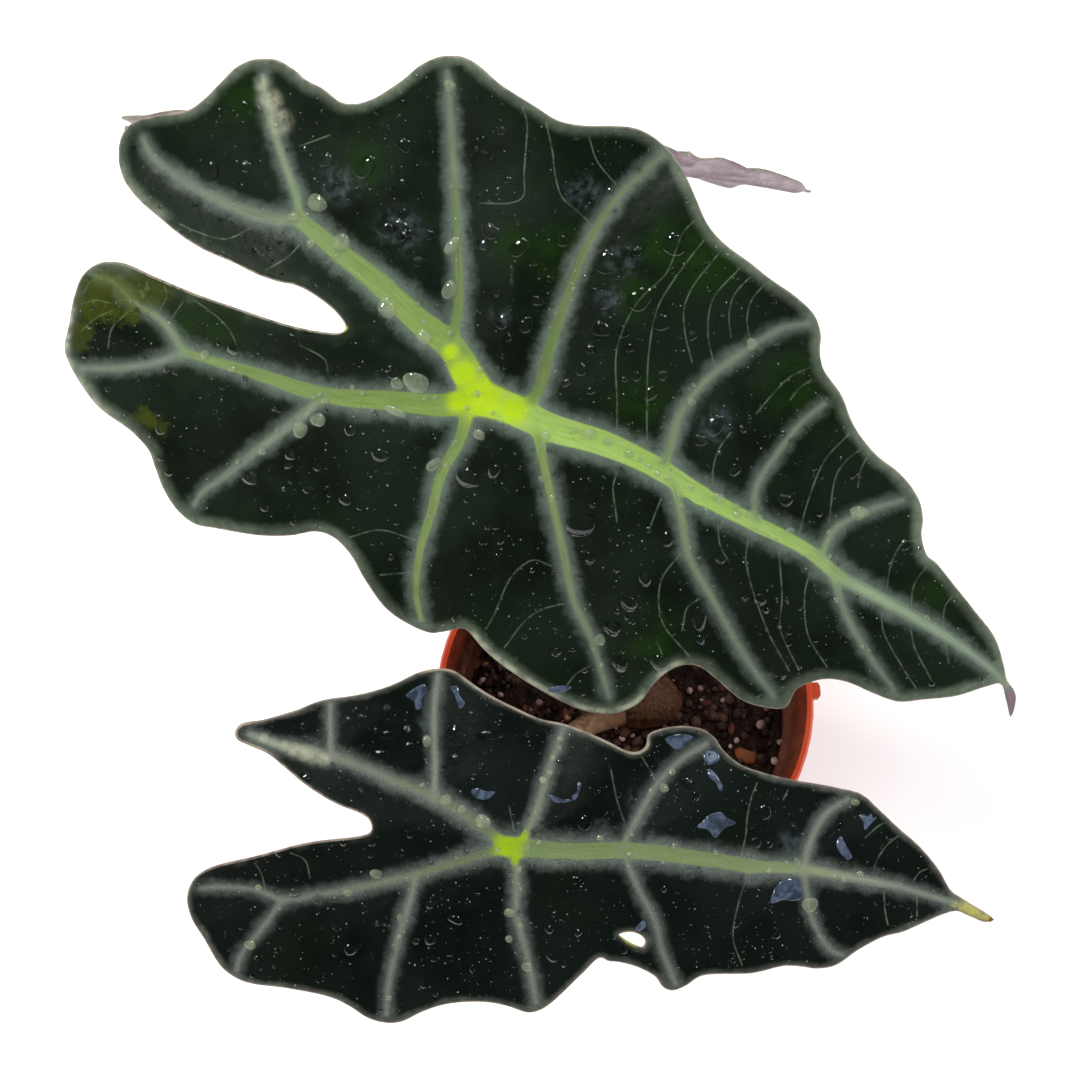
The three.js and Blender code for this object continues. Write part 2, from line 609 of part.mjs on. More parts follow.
// Points of a blade's plan: its margin, its ribs and their sides, then an even fill
function planPoints({ margin, tear, ribs }, spacing) {
  const { kept, add } = makeSieve();
  const loops = [margin, ...tear];
  const clear = (point) => Math.min(...loops.map((loop) => lineDistance(point, [...loop, loop[0]])));
  const within = (point) => insideLoop(point, margin) && !tear.some((loop) => insideLoop(point, loop));
  const fromRibs = (point) => Math.min(...ribs.map((rib) => lineDistance(point, rib.line)));
  const inner = (point) => within(point) && clear(point) > POINT_GAP;
  loops.flat().forEach(add);
  for (const rib of ribs) {
    smoothLine(rib.line, spacing.rib).filter(inner).forEach(add);
  }
  for (const rib of ribs) {
    const sides = ribSides(rib, spacing.side).filter((point) => fromRibs(point) > 0.8 * RIB_SIDE);
    sides.filter(inner).forEach(add);
  }
  for (const point of fillRows(spacing.fill)) {
    const free = within(point) && clear(point) >= 0.45 * spacing.fill;
    if (free && fromRibs(point) > RIB_SIDE + 0.3 * spacing.fill) {
      add(point);
    }
  }
  return kept;
}

// A triangle's corners with the circle through them
function withCircle(points, corners) {
  const [[ax, ay], [bx, by], [cx, cy]] = corners.map((corner) => points[corner]);
  const twice = 2 * (ax * (by - cy) + bx * (cy - ay) + cx * (ay - by));
  const [a2, b2, c2] = [ax * ax + ay * ay, bx * bx + by * by, cx * cx + cy * cy];
  const x = (a2 * (by - cy) + b2 * (cy - ay) + c2 * (ay - by)) / twice;
  const y = (a2 * (cx - bx) + b2 * (ax - cx) + c2 * (bx - ax)) / twice;
  return { corners, x, y, reach: (ax - x) ** 2 + (ay - y) ** 2 };
}

// Triangles between the plan's points, each with no other point inside its circle
function triangulate(sites) {
  const far = 5000;
  const points = [...sites, [-far, -far], [far, -far], [0, far]];
  const count = sites.length;
  let faces = [withCircle(points, [count, count + 1, count + 2])];
  for (let i = 0; i < count; i += 1) {
    const [x, y] = points[i];
    const kept = [];
    const rim = new Map();
    for (const face of faces) {
      if ((x - face.x) ** 2 + (y - face.y) ** 2 >= face.reach) {
        kept.push(face);
        continue;
      }
      const [a, b, c] = face.corners;
      for (const [from, to] of [[a, b], [b, c], [c, a]]) {
        if (!rim.delete(`${to},${from}`)) {
          rim.set(`${from},${to}`, [from, to]);
        }
      }
    }
    for (const [from, to] of rim.values()) {
      kept.push(withCircle(points, [from, to, i]));
    }
    faces = kept;
  }
  return faces.map((face) => face.corners).filter((corners) => corners.every((corner) => corner < count));
}

function faceArea(points, [a, b, c]) {
  const [[ax, ay], [bx, by], [cx, cy]] = [points[a], points[b], points[c]];
  return ((bx - ax) * (cy - ay) - (cx - ax) * (by - ay)) / 2;
}

// Shape across the blade: it domes up between ribs, and its margin waves
function makeRelief(plan) {
  const rim = [...plan.margin, plan.margin[0]];
  return (point) => {
    let ridge = 0;
    let nearest = Infinity;
    for (const rib of plan.ribs) {
      const distance = lineDistance(point, rib.line);
      nearest = Math.min(nearest, distance);
      ridge = Math.max(ridge, rib.ridge * (1 - distance / RIB_SIDE));
    }
    const domed = 1 - Math.exp(-((nearest / QUILT_REACH) ** 2));
    const edge = Math.exp(-lineDistance(point, rim) / EDGE_REACH);
    return { ridge, lift: domed * (QUILT_HEIGHT + EDGE_WAVE * edge) };
  };
}

function vertexNormals(points, faces) {
  const normals = points.map(() => new THREE.Vector3());
  for (const [a, b, c] of faces) {
    const across = points[b].clone().sub(points[a]).cross(points[c].clone().sub(points[a]));
    for (const corner of [a, b, c]) {
      normals[corner].add(across);
    }
  }
  return normals.map((normal) => normal.normalize());
}

// A blade: its upper face, the same triangles below it, and a wall round every edge
function buildBlade(plan, spacing, place) {
  const sites = planPoints(plan, spacing);
  const relief = makeRelief(plan);
  const faces = triangulate(sites).filter((corners) => {
    const middle = [0, 1].map((axis) => corners.reduce((sum, corner) => sum + sites[corner][axis] / 3, 0));
    const within = insideLoop(middle, plan.margin) && !plan.tear.some((loop) => insideLoop(middle, loop));
    return within && faceArea(sites, corners) > 0.01;
  });
  const shape = sites.map(relief);
  const upper = sites.map((site, i) => place(site, shape[i].lift));
  const normals = vertexNormals(upper, faces);
  const lower = upper.map((point, i) => {
    return point.clone().addScaledVector(normals[i], -(BLADE_THICKNESS + shape[i].ridge));
  });
  const count = sites.length;
  const solidFaces = [];
  const edges = new Map();
  for (const [a, b, c] of faces) {
    solidFaces.push([a, b, c], [a + count, c + count, b + count]);
    for (const [from, to] of [[a, b], [b, c], [c, a]]) {
      if (!edges.delete(`${to},${from}`)) {
        edges.set(`${from},${to}`, [from, to]);
      }
    }
  }
  for (const [from, to] of edges.values()) {
    solidFaces.push([to, from, from + count], [to, from + count, to + count]);
  }
  const vertices = [...upper, ...lower].map((point) => point.toArray());
  return { solid: toSolid(vertices, solidFaces), seat: seatBelow(sites, upper, normals, shape) };
}

// Centre of a stalk's rounded end that seats just under the blade
function seatBelow(sites, upper, normals, shape) {
  let nearest = 0;
  sites.forEach(([a, b], i) => {
    if (Math.hypot(a, b) < Math.hypot(...sites[nearest])) {
      nearest = i;
    }
  });
  const depth = BLADE_THICKNESS + shape[nearest].ridge + GAP + STALK_TOP_RADIUS;
  return upper[nearest].clone().addScaledVector(normals[nearest], -depth);
}

function makePlan(blade, marginPx, ribsPx, tearPx, spacing) {
  const { toPlan, toPixel } = planMaker(blade);
  return {
    margin: smoothLoop(marginPx.map(toPlan), spacing.margin),
    tear: tearPx.map((loop) => loop.map(toPlan)),
    ribs: ribsPx.map(({ ridge, px }) => ({ ridge, line: smoothLine(px.map(toPlan), 4) })),
    toPixel,
  };
}

function buildLargeBlade() {
  const plan = makePlan(LARGE, LARGE_MARGIN_PX, LARGE_RIBS, [], LARGE_SPACING);
  const place = (site, lift) => sightPoint(plan.toPixel(site), LARGE.depth + droop(LARGE, site) - lift);
  return buildBlade(plan, LARGE_SPACING, place);
}

function buildSmallBlade() {
  const plan = makePlan(SMALL, SMALL_MARGIN_PX, SMALL_RIBS, [SMALL_TEAR_PX], SMALL_SPACING);
  const place = (site, lift) => sightPoint(plan.toPixel(site), SMALL.depth + droop(SMALL, site) - lift);
  return buildBlade(plan, SMALL_SPACING, place);
}

// Axes of the blade behind: its midrib, its width nearly along the line of sight, and its face
function backAxes() {
  const lobe = sightPoint(BACK_LOBE.px, BACK_LOBE.depth);
  const tip = sightPoint(BACK_TIP.px, BACK_TIP.depth);
  const seat = lobe.clone().lerp(tip, BACK_SEAT_SHARE);
  const along = tip.clone().sub(lobe).normalize();
  const sight = seat.clone().lerp(tip, 0.7).sub(EYE).normalize();
  const away = sight.addScaledVector(along, -sight.dot(along)).normalize();
  const across = away.applyAxisAngle(along, THREE.MathUtils.degToRad(-BACK_TILT_DEG));
  const face = along.clone().cross(across);
  return { seat, along, across, face };
}

function buildBackBlade() {
  const plan = makePlan(LARGE, LARGE_MARGIN_PX, LARGE_RIBS, [], BACK_SPACING);
  const mirrored = ([a, b]) => [a, -b];
  const flip = (loop) => loop.map(mirrored);
  const backPlan = {
    margin: flip(plan.margin),
    tear: [],
    ribs: plan.ribs.map(({ ridge, line }) => ({ ridge, line: flip(line) })),
  };
  const { seat, along, across, face } = backAxes();
  const place = (site, lift) => seat.clone()
    .addScaledVector(along, BACK_SCALE * site[0])
    .addScaledVector(across, BACK_SCALE * site[1])
    .addScaledVector(face, BACK_RELIEF * lift - droop(BACK, site));
  return buildBlade(backPlan, BACK_SPACING, place);
}

const largeBlade = buildLargeBlade();
const smallBlade = buildSmallBlade();
const backBlade = buildBackBlade();

// Middle points of each stalk, from its socket in the plant base up to its blade
const at = (x, y, z) => new THREE.Vector3(x, y, z);
const largeStalk = [
  at(-2.5, 7, SOCKET_BOTTOM), at(-3.5, 8, 96), at(-9, 14, 130), at(-22, 26, 180), largeBlade.seat,
];
const smallStalk = [
  at(0.5, -1, SOCKET_BOTTOM), at(-3.5, -3.8, 91), at(-9.5, -7, 97.5), at(-16, -13, 110),
  at(-26, -31, 145), smallBlade.seat,
];
const backStalk = [
  at(6.5, 9.5, SOCKET_BOTTOM), at(6, 11, 96), at(-1, 32, 130), at(-22, 82, 165), backBlade.seat,
];

const group = new THREE.Group();
group.name = 'potted_polly_alocasia';
group.add(toNode('pot', buildPot(), TERRACOTTA, 0.45));
group.add(toNode('soil', buildSoil(), DARK_SOIL, 0.95));
group.add(toNode('corm', buildCorm([largeStalk, smallStalk, backStalk]), BROWN_CORM, 0.7));
group.add(toNode('petiole_large', stalkBody(largeStalk, 0), GREEN_STALK, 0.45));
group.add(toNode('petiole_small', stalkBody(smallStalk, 0), PINK_STALK, 0.45));
group.add(toNode('petiole_back', stalkBody(backStalk, 0), GREEN_STALK, 0.45));
group.add(toNode('blade_large', largeBlade.solid, DARK_LEAF, 0.35));
group.add(toNode('blade_small', smallBlade.solid, DARK_LEAF, 0.35));
group.add(toNode('blade_back', backBlade.solid, PURPLE_LEAF, 0.4));

export default group;
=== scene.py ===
import math

import bmesh
import bpy
import numpy as np
from mathutils import Matrix, Vector
from mathutils.geometry import delaunay_2d_cdt


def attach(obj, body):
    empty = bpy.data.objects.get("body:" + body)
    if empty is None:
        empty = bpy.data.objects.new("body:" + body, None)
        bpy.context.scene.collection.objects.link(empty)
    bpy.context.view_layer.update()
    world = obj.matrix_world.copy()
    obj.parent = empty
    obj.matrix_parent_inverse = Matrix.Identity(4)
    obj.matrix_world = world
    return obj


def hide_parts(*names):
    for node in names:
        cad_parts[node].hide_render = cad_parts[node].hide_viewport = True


# A polly alocasia in a plastic nursery pot. Lengths are in mm until a mesh is made, which is in metres.
MM = 0.001

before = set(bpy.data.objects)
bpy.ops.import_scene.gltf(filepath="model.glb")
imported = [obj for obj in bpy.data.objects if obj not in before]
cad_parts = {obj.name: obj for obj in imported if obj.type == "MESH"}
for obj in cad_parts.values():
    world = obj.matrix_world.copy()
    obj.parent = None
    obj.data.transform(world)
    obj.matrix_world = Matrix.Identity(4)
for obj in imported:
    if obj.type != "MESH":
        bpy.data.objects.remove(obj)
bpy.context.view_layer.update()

# View of the photograph: the eye, its slope down, and its focal length in a frame of 1080 pixels
EYE = np.array((-27.0, -116.0, 622.0))
VIEW_SLOPE = math.radians(72)
VIEW_FOCAL_PX = 1662.0
FRAME_PX = 1080.0
SENSOR_MM = 36.0
VIEW_RIGHT = np.array((1.0, 0.0, 0.0))
VIEW_UP = np.array((0.0, math.sin(VIEW_SLOPE), math.cos(VIEW_SLOPE)))
VIEW_AHEAD = np.array((0.0, math.cos(VIEW_SLOPE), -math.sin(VIEW_SLOPE)))

# Where a blade sits on its stalk, where its tip is, and how deep it lies from the eye
LARGE_SEAT_PX = (480, 398)
LARGE_TIP_PX = (1004, 682)
LARGE_DEPTH = 413
SMALL_SEAT_PX = (508, 847)
SMALL_TIP_PX = (957, 903)
SMALL_DEPTH = 437

# How a blade droops: reach and drop of its tip, then of its lobes, and slopes to the far and near side
LARGE_DROOP = (148, 35, 105, 9, -0.17, 0.6)
SMALL_DROOP = (122, 25, 84, 7, 0.22, 0.28)
BACK_DROOP = (148, 6, 105, 3.5, 0.04, 0.04)
DROOP_POWER = 1.6
KEEL_RADIUS = 9.0

# Thickness and relief of a blade. A pucker is its height, the size of its features and its seed.
BLADE_THICKNESS = 0.85
EDGE_THICKNESS = 0.6
EDGE_TAPER = 2.5
QUILT_HEIGHT = 2.6
QUILT_REACH = 8.5
EDGE_WAVE = 1.9
EDGE_REACH = 11.0
PUCKERS = ((0.16, 7.0, 1), (0.07, 2.6, 2))
CALM_EDGE = 3.0
RIB_SIDE = 2.5
FULL_RIDGE = 1.3
RIDGE_TAPER = 4.0
RIDGE_LEAST = 0.15
GROOVE_DEPTH = 0.30
GROOVE_REACH = 0.8
CREASE_DEPTH = 0.12
CREASE_REACH = 0.45

# How a rib's green core and grey halo spread
HALO_WIDTH = 2.9
HALO_GROWTH = 0.9
HALO_WIDEST = 1.6
HALO_BLEND = 0.16
THIN_HALO = 0.62
FULL_HALO = 0.8
CORE_BLEND = 0.35
GREEN_BLEND = 0.9
FAR_RIB_LIGHT = 0.2
NEXT_RIB = 37.0
TINY = 1e-9

# How far from a rib, an edge or a vein a point still feels it, and how many steps of a line are taken at once
RIB_REACH = 24.0
RIM_REACH = 18.0
FINE_REACH = 3.0
LINE_RUN = 10

# Spacing of the points on each kind of line, and of a blade's own points
MARGIN_STEP = 1.1
TEAR_STEP = 0.8
RIB_STEP = 1.6
VEIN_STEP = 1.3
PUDDLE_STEP = 0.35
LARGE_GRID = 1.15
SMALL_GRID = 1.1
BACK_GRID = 1.8
JITTER_SEED = 5
CURVE_STEPS = 24
LEAST_FACE = 1e-4
# The rest are shares of a blade's spacing: between rows and along lines, how far points stay from lines
# and edges and from one another, and how far they stray
ROW_SHARE = 0.87
ALONG_SHARE = 0.95
CLEAR_SHARE = 0.5
APART_SHARE = 0.45
JITTER_SHARE = 0.12

# Blade behind, which stands between two places that are seen
BACK_LOBE_PX = (114, 109)
BACK_LOBE_DEPTH = 460
BACK_TIP_PX = (829, 173)
BACK_TIP_DEPTH = 560
BACK_SEAT_SHARE = 0.407
BACK_FACING_SHARE = 0.7
BACK_SCALE = 0.887
BACK_TILT = math.radians(5.5)
BACK_RELIEF = 0.6

# Pot and soil. A crumbling is its height, the size of its features and its seed.
POT_FOOT_RADIUS = 43.0
POT_WALL = 1.3
POT_CREASE = math.radians(28)
WALL_TOP_RADIUS = 54.5
COLLAR_BOTTOM = 85.0
SEAT_GAP = 0.3
SOIL_BOTTOM = 2.1
SOIL_WAIST = 40.0
SOIL_LEVEL = 78.5
SOIL_HIGHEST = 84.2
SOIL_SLOPE = 0.1
SOIL_SIDES = 180
SOIL_RINGS = 62
SOIL_CRUMBLING = ((0.75, 3.4, 11), (0.45, 1.5, 12), (0.25, 0.8, 13))
MOUND_HEIGHT = 2.5
MOUND_REACH = 22

# Plant base and stalks. A base's shape is shares of its height and of its width.
CORM_CENTRE = (5.5, 3.5)
CORM_HALVES = (14.5, 9.6)
CORM_BOTTOM = 58.0
CORM_TOP = 94.0
CORM_SHAPE = ((0, 0.72), (0.12, 0.9), (0.4, 1), (0.72, 1), (0.88, 0.88), (0.96, 0.62), (0.995, 0.28))
# Lobes round the base: depth, number, and how they turn with the height
CORM_LOBES = ((0.035, 3, 1), (0.03, 5, -2))
CORM_SCARS = 9
SCAR_STEP = 0.02
CORM_FIBRES = 31
FIBRE_DEPTH = 0.008
CORM_EDGE = 1.02
CORM_SIDES = 96
CORM_RINGS = 46
CORM_RING_POWER = 1.5
CORM_RING_SPREAD = 0.999
SOCKET_BOTTOM = 84.0
LARGE_STALK = [(-2.5, 7, SOCKET_BOTTOM), (-3.5, 8, 96), (-9, 14, 130), (-22, 26, 180)]
SMALL_STALK = [(0.5, -1, SOCKET_BOTTOM), (-3.5, -3.8, 91), (-9.5, -7, 97.5), (-16, -13, 110), (-26, -31, 145)]
BACK_STALK = [(6.5, 9.5, SOCKET_BOTTOM), (6, 11, 96), (-1, 32, 130), (-22, 82, 165)]
STALK_RADII = (3.5, 3.75, 3.5, 3.3, 3.1, 3.0, 2.9, 2.8, 2.7, 2.6)
STALK_DOME = ((0.85, 0.5), (0.5, 0.85))
STALK_TOP_SUNK = 0.9
STALK_GROOVES = 7
STALK_GROOVE_DEPTH = 0.012
STALK_SIDES = 28
STALK_STEP = 1.6

# Water. A blade's spray is how many small drops and specks it carries and its seed; sizes are half widths.
# The specks are painted glints.
LARGE_SPRAY = (1150, 1300, 21)
SMALL_SPRAY = (620, 1000, 25)
SPECK_SIZES = (0.09, 0.14)
SMALL_DROP_SIZES = (0.22, 0.85)
SMALL_DROP_POWER = 3
SMALL_DROP_STRETCH = 0.2
LARGE_DROP = 1.2
# A drop's fineness: the size it holds below, the corners of its edge, and its rings on the way out to it
DROP_FINENESS = (
    (0.24, 6, (0.6, 1.0)),
    (0.5, 8, (0.55, 0.88, 1.0)),
    (LARGE_DROP, 16, (0.3, 0.58, 0.8, 0.93, 1.0)),
    (math.inf, 28, (0.3, 0.58, 0.8, 0.93, 1.0)),
)
SMALL_DROP_BEND = 0.03
LARGE_DROP_BEND = 0.055
DROP_STEEPNESS = 0.62
WIDE_STEEPNESS = 0.16
DROP_ROUNDNESS = 2.6
DROP_SHOULDER = 0.75
DROP_LIP = 0.02
DROP_SUNK = 0.2
DROP_CLEARANCE = 1.0
PUDDLE_DEPTH = 0.3
PUDDLE_ROUNDNESS = 8
ON_RIB = 0.6

# Loose grains: how many, their seed, least and greatest half size, flatness, length, unevenness and fineness
CRUMBS = (1900, 31, (0.35, 1.9), 0.8, 1.15, 0.42, 1)
PALE_GRAINS = (110, 32, (0.4, 1.6), 0.85, 1.1, 0.28, 2)
BARK_BITS = (34, 33, (0.8, 1.8), 0.5, 1.7, 0.36, 2)
GRAIN_SIZE_POWER = 2.4
GRAIN_TO_WALL = 1.6
GRAIN_BUMP_SIZE = 0.9
NEXT_GRAIN = 3.7
GRAIN_SPIN = 6.3
GRAIN_TILT = 0.35
GRAIN_RISE = 0.35
GRAIN_LIFT = 0.3
# Grains that show between the leaves: pixel place and half size
PALE_GRAINS_PX = """
    760,726,1.5 787,725,1.6 773,763,1.3 622,738,1.1 482,677,1.4 540,700,1.3 530,707,1.2 568,715,1.1
    700,690,1 722,702,0.9 742,716,1 500,690,0.9 779,744,1.1 736,742,0.9 712,716,0.8
"""
BARK_BITS_PX = """
    745,757,2.1 566,712,1.4 731,730,1.3 706,704,1.2 476,660,1.3
"""

# Studio, in metres
FLOOR_REACH = 1.3
FLOOR_DROP = 0.0002
LIGHT_LEVEL = 1.56
WORLD_LOW = 1.15
WORLD_HIGH = 0.14
LAMP_TARGET = Vector((-0.02, 0.03, 0.17))
# A lamp: name, place, width, watts, colour, and whether it is mirrored by what shines
LAMPS = [
    ("sun", (-0.75, 0.5, 1.5), 0.3, 17.0, (1.0, 0.97, 0.92), True),
    ("glint_right", (0.9, 0.7, 1.3), 0.34, 4.8, (1.0, 1.0, 1.0), True),
    ("glint_back", (-0.25, 1.3, 1.2), 0.34, 4.8, (1.0, 1.0, 1.0), True),
    ("soft_left", (-1.9, -0.4, 1.25), 1.5, 34.0, (1.0, 0.99, 0.97), False),
    ("soft_right", (1.9, 0.0, 1.25), 1.5, 34.0, (0.98, 0.99, 1.0), False),
    ("sky", (0.25, 1.0, 2.1), 0.6, 1.8, (0.70, 0.80, 1.0), True),
]

# Outlines and ribs, read off the photograph. A rib is its ridge's height, half the width of its
# green core at both ends, how green the core is at both ends, how light it is, and its line.
LARGE_MARGIN_PX = """
    346,328 340,316 320,298 297,285 278,281 257,273.5 234,262 203,248.5 180,234 157,215 138,198 124,179
    118.5,157 121.5,136 132,123 153,116.5 186,111 203,100 220,83 236,67.5 252,60 264,59 276,60 295,71
    304,79 323,89 340,102 353,104 371,99.5 401,81 421,65 439,57 450,56 462,57 478,65.5 499,83.5 533,105
    558,120.5 583,125.5 610,126 637,129 656,139 673,155.5 686,176.5 697,201 708,225 724,243.5 751,263.5
    770,279 797,298 815,316 821,335 820,352 824,370 841,395 854,426 876,455 901,475 919,500 923,520
    921.5,535 927.5,556 936.5,563.5 954,585 977,614 995.5,639 1004.5,668 1007,680 1014.5,691 1016,699
    1011,717 1007,700 1001.5,684 985,687 956,696 923,699.5 898,701.5 874,693.5 847,682 825,679 805,684.5
    796,690 788,705 783,708.5 760,706.5 740,699 714,677 700,667 688,664.5 673,668.5 655,682.5 639,703
    617,713 604,714 580,709.5 543,691.5 506,668 484,649.5 468,631 464,628.5 445,631.5 431,633 410,625
    386,608.5 365,580 350,554 333,537 316,531.5 291,535.5 260,535.5 217,528.5 195,524 178,511 164,490
    154.5,466 149,451 132,432 99,407.5 81,384.5 67,358.5 64.5,347 69,324 74,297 82.5,275.5 98,264
    121,263.5 155,278 192,293.5 228,306 289,326 322,332.5 340,333
"""

SMALL_MARGIN_PX = """
    372,829 369,819 361,813 336,803 307,785 284,766 268,753.5 248,744.5 237,739 235,732 241,724 263,720
    293,711.5 321,700.5 359,694.5 392,685 420,672 438,668.5 452,670 472,683.5 490,695 518,709 541,719
    563,723.5 588,732.5 612,743.5 627,751 639,752 647,746 649,735 665,728.5 688,726.5 705,730.5 716,739
    722,748.5 740,764 763,772.5 793,780 838,788 862,794.5 878,808.5 898,827.5 919,846 939,870 951,890.5
    967,901.5 994,920 985,922 971,916.5 957,911 945,913.5 902,932 884,936.5 858,950 836,965 818,968.5
    797,966 783,966 753,973 701,976 686,985.5 672,990.5 663,987 657,978 640,968 619,962 608,961
    600.5,957.5 582,974 550,1004 539,1010.5 528,1012.5 507,1006 484,1002 447,1004 423,1011.5 402,1021.5
    388,1023 369,1018.5 350,1006.5 331,997.5 289,988.5 244,981.5 222.5,968 204,938.5 191.5,918 187,898
    193,880.5 208,869.5 258,856.5 307,843.5 359,837 369,834
"""

SMALL_TEAR_PX = """
    619,934.5 624,932.5 633,932 642,936 646,941 644,947.5 637,946 628,941.5
"""

LARGE_RIBS = [
    (2, (4.0, 2.3), (1, 0.88), 1, "480,398 510,408 549,427 600,442 650,464 700,495"),
    (1.6, (2.2, 1.5), (0.88, 0.7), 1, "700,495 750,521 807,550 838,576"),
    (1.1, (1.4, 0.4), (0.25, 0), 1, "838,576 878,597 923,622 968,651 1001,679 1010,698"),
    (1.8, (3.9, 1.9), (1, 0.6), 0.62, "480,398 468,374 451,347 419,321 376,281 334,248 299,219"),
    (1, (0.9, 0.3), (0.4, 0), 0.66, "299,219 297,199 289,176 276,138 266,101 263,75"),
    (1, (1.2, 0.3), (0.2, 0.0), 0.45, "299,219 270,218 226,203 184,180 150,153 143,138"),
    (1.3, (1.3, 0.4), (0.8, 0.1), 0.42, "451,347 457,317 459,289 457,231 454,174 449,103 447,72"),
    (1.3, (1.5, 0.5), (0.8, 0.25), 0.4, "522,410 537,393 549,351 568,294 585,250 616,199 662,155"),
    (1.3, (0.9, 0.3), (0.35, 0.0), 0.5, "663,468 672,441 678,418 702,384 751,346 782,328 808,323"),
    (1.1, (0.5, 0.2), (0.2, 0), 0.6, "755,523 756,488 778,452 804,420 824,404"),
    (1, (0.7, 0.2), (0.3, 0), 0.66, "820,560 834,530 870,510 903,500"),
    (1.8, (3.1, 0.9), (1, 0.6), 0.6, "480,398 445,405 396,401 325,395 257,374 184,352"),
    (1, (0.7, 0.3), (0.25, 0.2), 0.66, "184,352 163,322 133,301 109,279 96,276"),
    (1, (0.6, 0.3), (0.05, 0), 0.64, "184,352 157,362 117,368 81,368"),
    (1.1, (0.9, 0.3), (0.1, 0), 0.6, "325,395 299,418 257,450 218,481 203,491 194,505"),
    (1.3, (1.6, 0.6), (0.8, 0.65), 0.62, "468,403 461,437 442,472 432,510 420,550 416,592 421,620"),
    (1.3, (1.3, 0.3), (0.8, 0.05), 0.62, "536,421 543,460 553,506 564,556 574,602 590,636 609,697"),
    (1.3, (0.8, 0.3), (0.45, 0.0), 0.6, "672,478 681,514 689,556 712,598 735,640 756,673 774,696"),
    (1.1, (0.6, 0.2), (0.2, 0), 0.62, "832,571 845,612 867,652 894,690"),
]

SMALL_RIBS = [
    (1.9, (2.4, 1.8), (1, 0.75), 0.88, "508,847 569,851 635,851 704,859 749,866"),
    (1.4, (1.7, 0.5), (0.7, 0), 0.9, "749,866 803,869 850,877 898,886"),
    (0.9, (0.4, 0.5), (0, 0.2), 0.9, "898,886 941,899 972,908 985,917"),
    (1.6, (1.2, 0.7), (0.45, 0.1), 0.42, "508,847 477,823 434,797 392,780 345,760 312,751"),
    (0.9, (0.8, 0.4), (0.1, 0), 0.8, "312,751 274,743 250,734"),
    (1.1, (0.4, 0.3), (0, 0), 0.8, "434,797 435,766 434,743 435,695 438,675"),
    (0.9, (0.3, 0.2), (0, 0), 0.9, "331,756 330,728 330,705"),
    (1.1, (0.7, 0.4), (0.3, 0.1), 0.62, "520,848 536,811 550,765 564,727"),
    (1.1, (0.5, 0.3), (0.2, 0), 0.66, "620,851 635,822 658,783 683,758 706,744"),
    (1, (0.5, 0.3), (0, 0), 0.7, "803,869 809,846 817,827 829,811 848,799"),
    (1.6, (1.1, 0.4), (0.7, 0.0), 0.5, "508,847 463,860 416,874 369,885 322,894 282,900"),
    (0.9, (0.3, 0.2), (0, 0), 0.7, "282,900 256,890 222,887 200,888"),
    (0.9, (0.3, 0.2), (0, 0), 0.7, "282,900 263,927 241,955 236,970"),
    (1.1, (0.6, 0.3), (0.1, 0), 0.62, "416,874 411,896 397,943 388,990 386,1014"),
    (1.1, (0.7, 0.4), (0.2, 0), 0.62, "513,847 517,887 516,910 527,956 536,1002"),
    (1.1, (0.4, 0.3), (0, 0), 0.62, "623,851 635,882 656,923 661,947 670,970 675,983"),
    (1, (0.4, 0.3), (0, 0), 0.66, "803,869 812,918 830,949 842,955"),
]

# Thin pale veins
LARGE_VEINS = """
    522,107 527,122 526,147 524,174 523,197 510,203 480,203 / 546,122 553,155 555,174 562,197 576,210
    589,222 / 589,136 596,159 606,173 616,184 / 704,240 681,270 658,307 649,351 647,399 647,440 / 694,221
    682,234 667,272 637,303 617,349 617,400 617,430 / 719,253 692,288 684,309 685,333 692,362 / 740,268
    713,299 708,333 715,368 / 749,278 734,295 729,316 731,337 / 763,286 751,301 747,320 749,335 / 811,367
    790,377 772,395 756,414 / 731,432 718,451 713,470 713,485 / 815,381 803,385 790,400 / 849,434 825,460
    808,501 799,534 / 861,449 847,460 836,476 829,523 / 868,456 861,469 858,487 / 911,606 914,585 930,562
    / 887,588 890,568 903,543 919,541 / 943,628 945,606 952,597 / 563,604 543,609 527,619 504,648 /
    551,566 533,560 512,576 494,615 486,629 / 590,666 576,674 563,691 / 617,472 613,487 615,506 617,522 /
    661,499 655,514 649,531 / 682,552 661,581 662,621 689,656 / 699,599 687,608 683,627 / 657,642 662,654
    / 718,525 720,545 729,562 / 748,541 746,562 766,627 789,671 / 779,552 782,600 780,627 798,669 /
    810,573 805,592 808,635 827,667 / 882,612 883,630 903,668 916,688 / 911,630 914,646 932,681 / 945,643
    949,664 / 251,228 226,239 195,231 180,224 / 299,245 289,256 266,270 / 300,146 330,135 / 241,357
    228,328 203,306 193,300 / 183,302 172,318 / 118,288 145,290 147,282 / 300,345 325,360 328,372 /
    416,572 380,575 / 415,540 380,530 350,537 / 126,299 110,303 96,300 82,304 / 114,284 101,279 91,281 84,292
    / 142,298 150,290 146,282 / 160,309 167,296 164,286 / 112,311 96,318 80,332 / 128,312 112,328 108,348
"""
SMALL_VEINS = """
    742,852 746,834 747,819 751,799 757,783 / 874,868 878,858 888,844 898,836 / 914,880 920,872 927,869 /
    747,878 740,898 733,937 742,965 / 884,892 885,910 888,925 / 917,895 917,916 / 611,770 617,800 624,821
    / 642,757 650,770 657,782 / 509,806 514,830 / 310,878 305,860 290,853 / 265,890 262,875 255,863 /
    783,800 788,790 / 865,838 880,825 893,820
"""

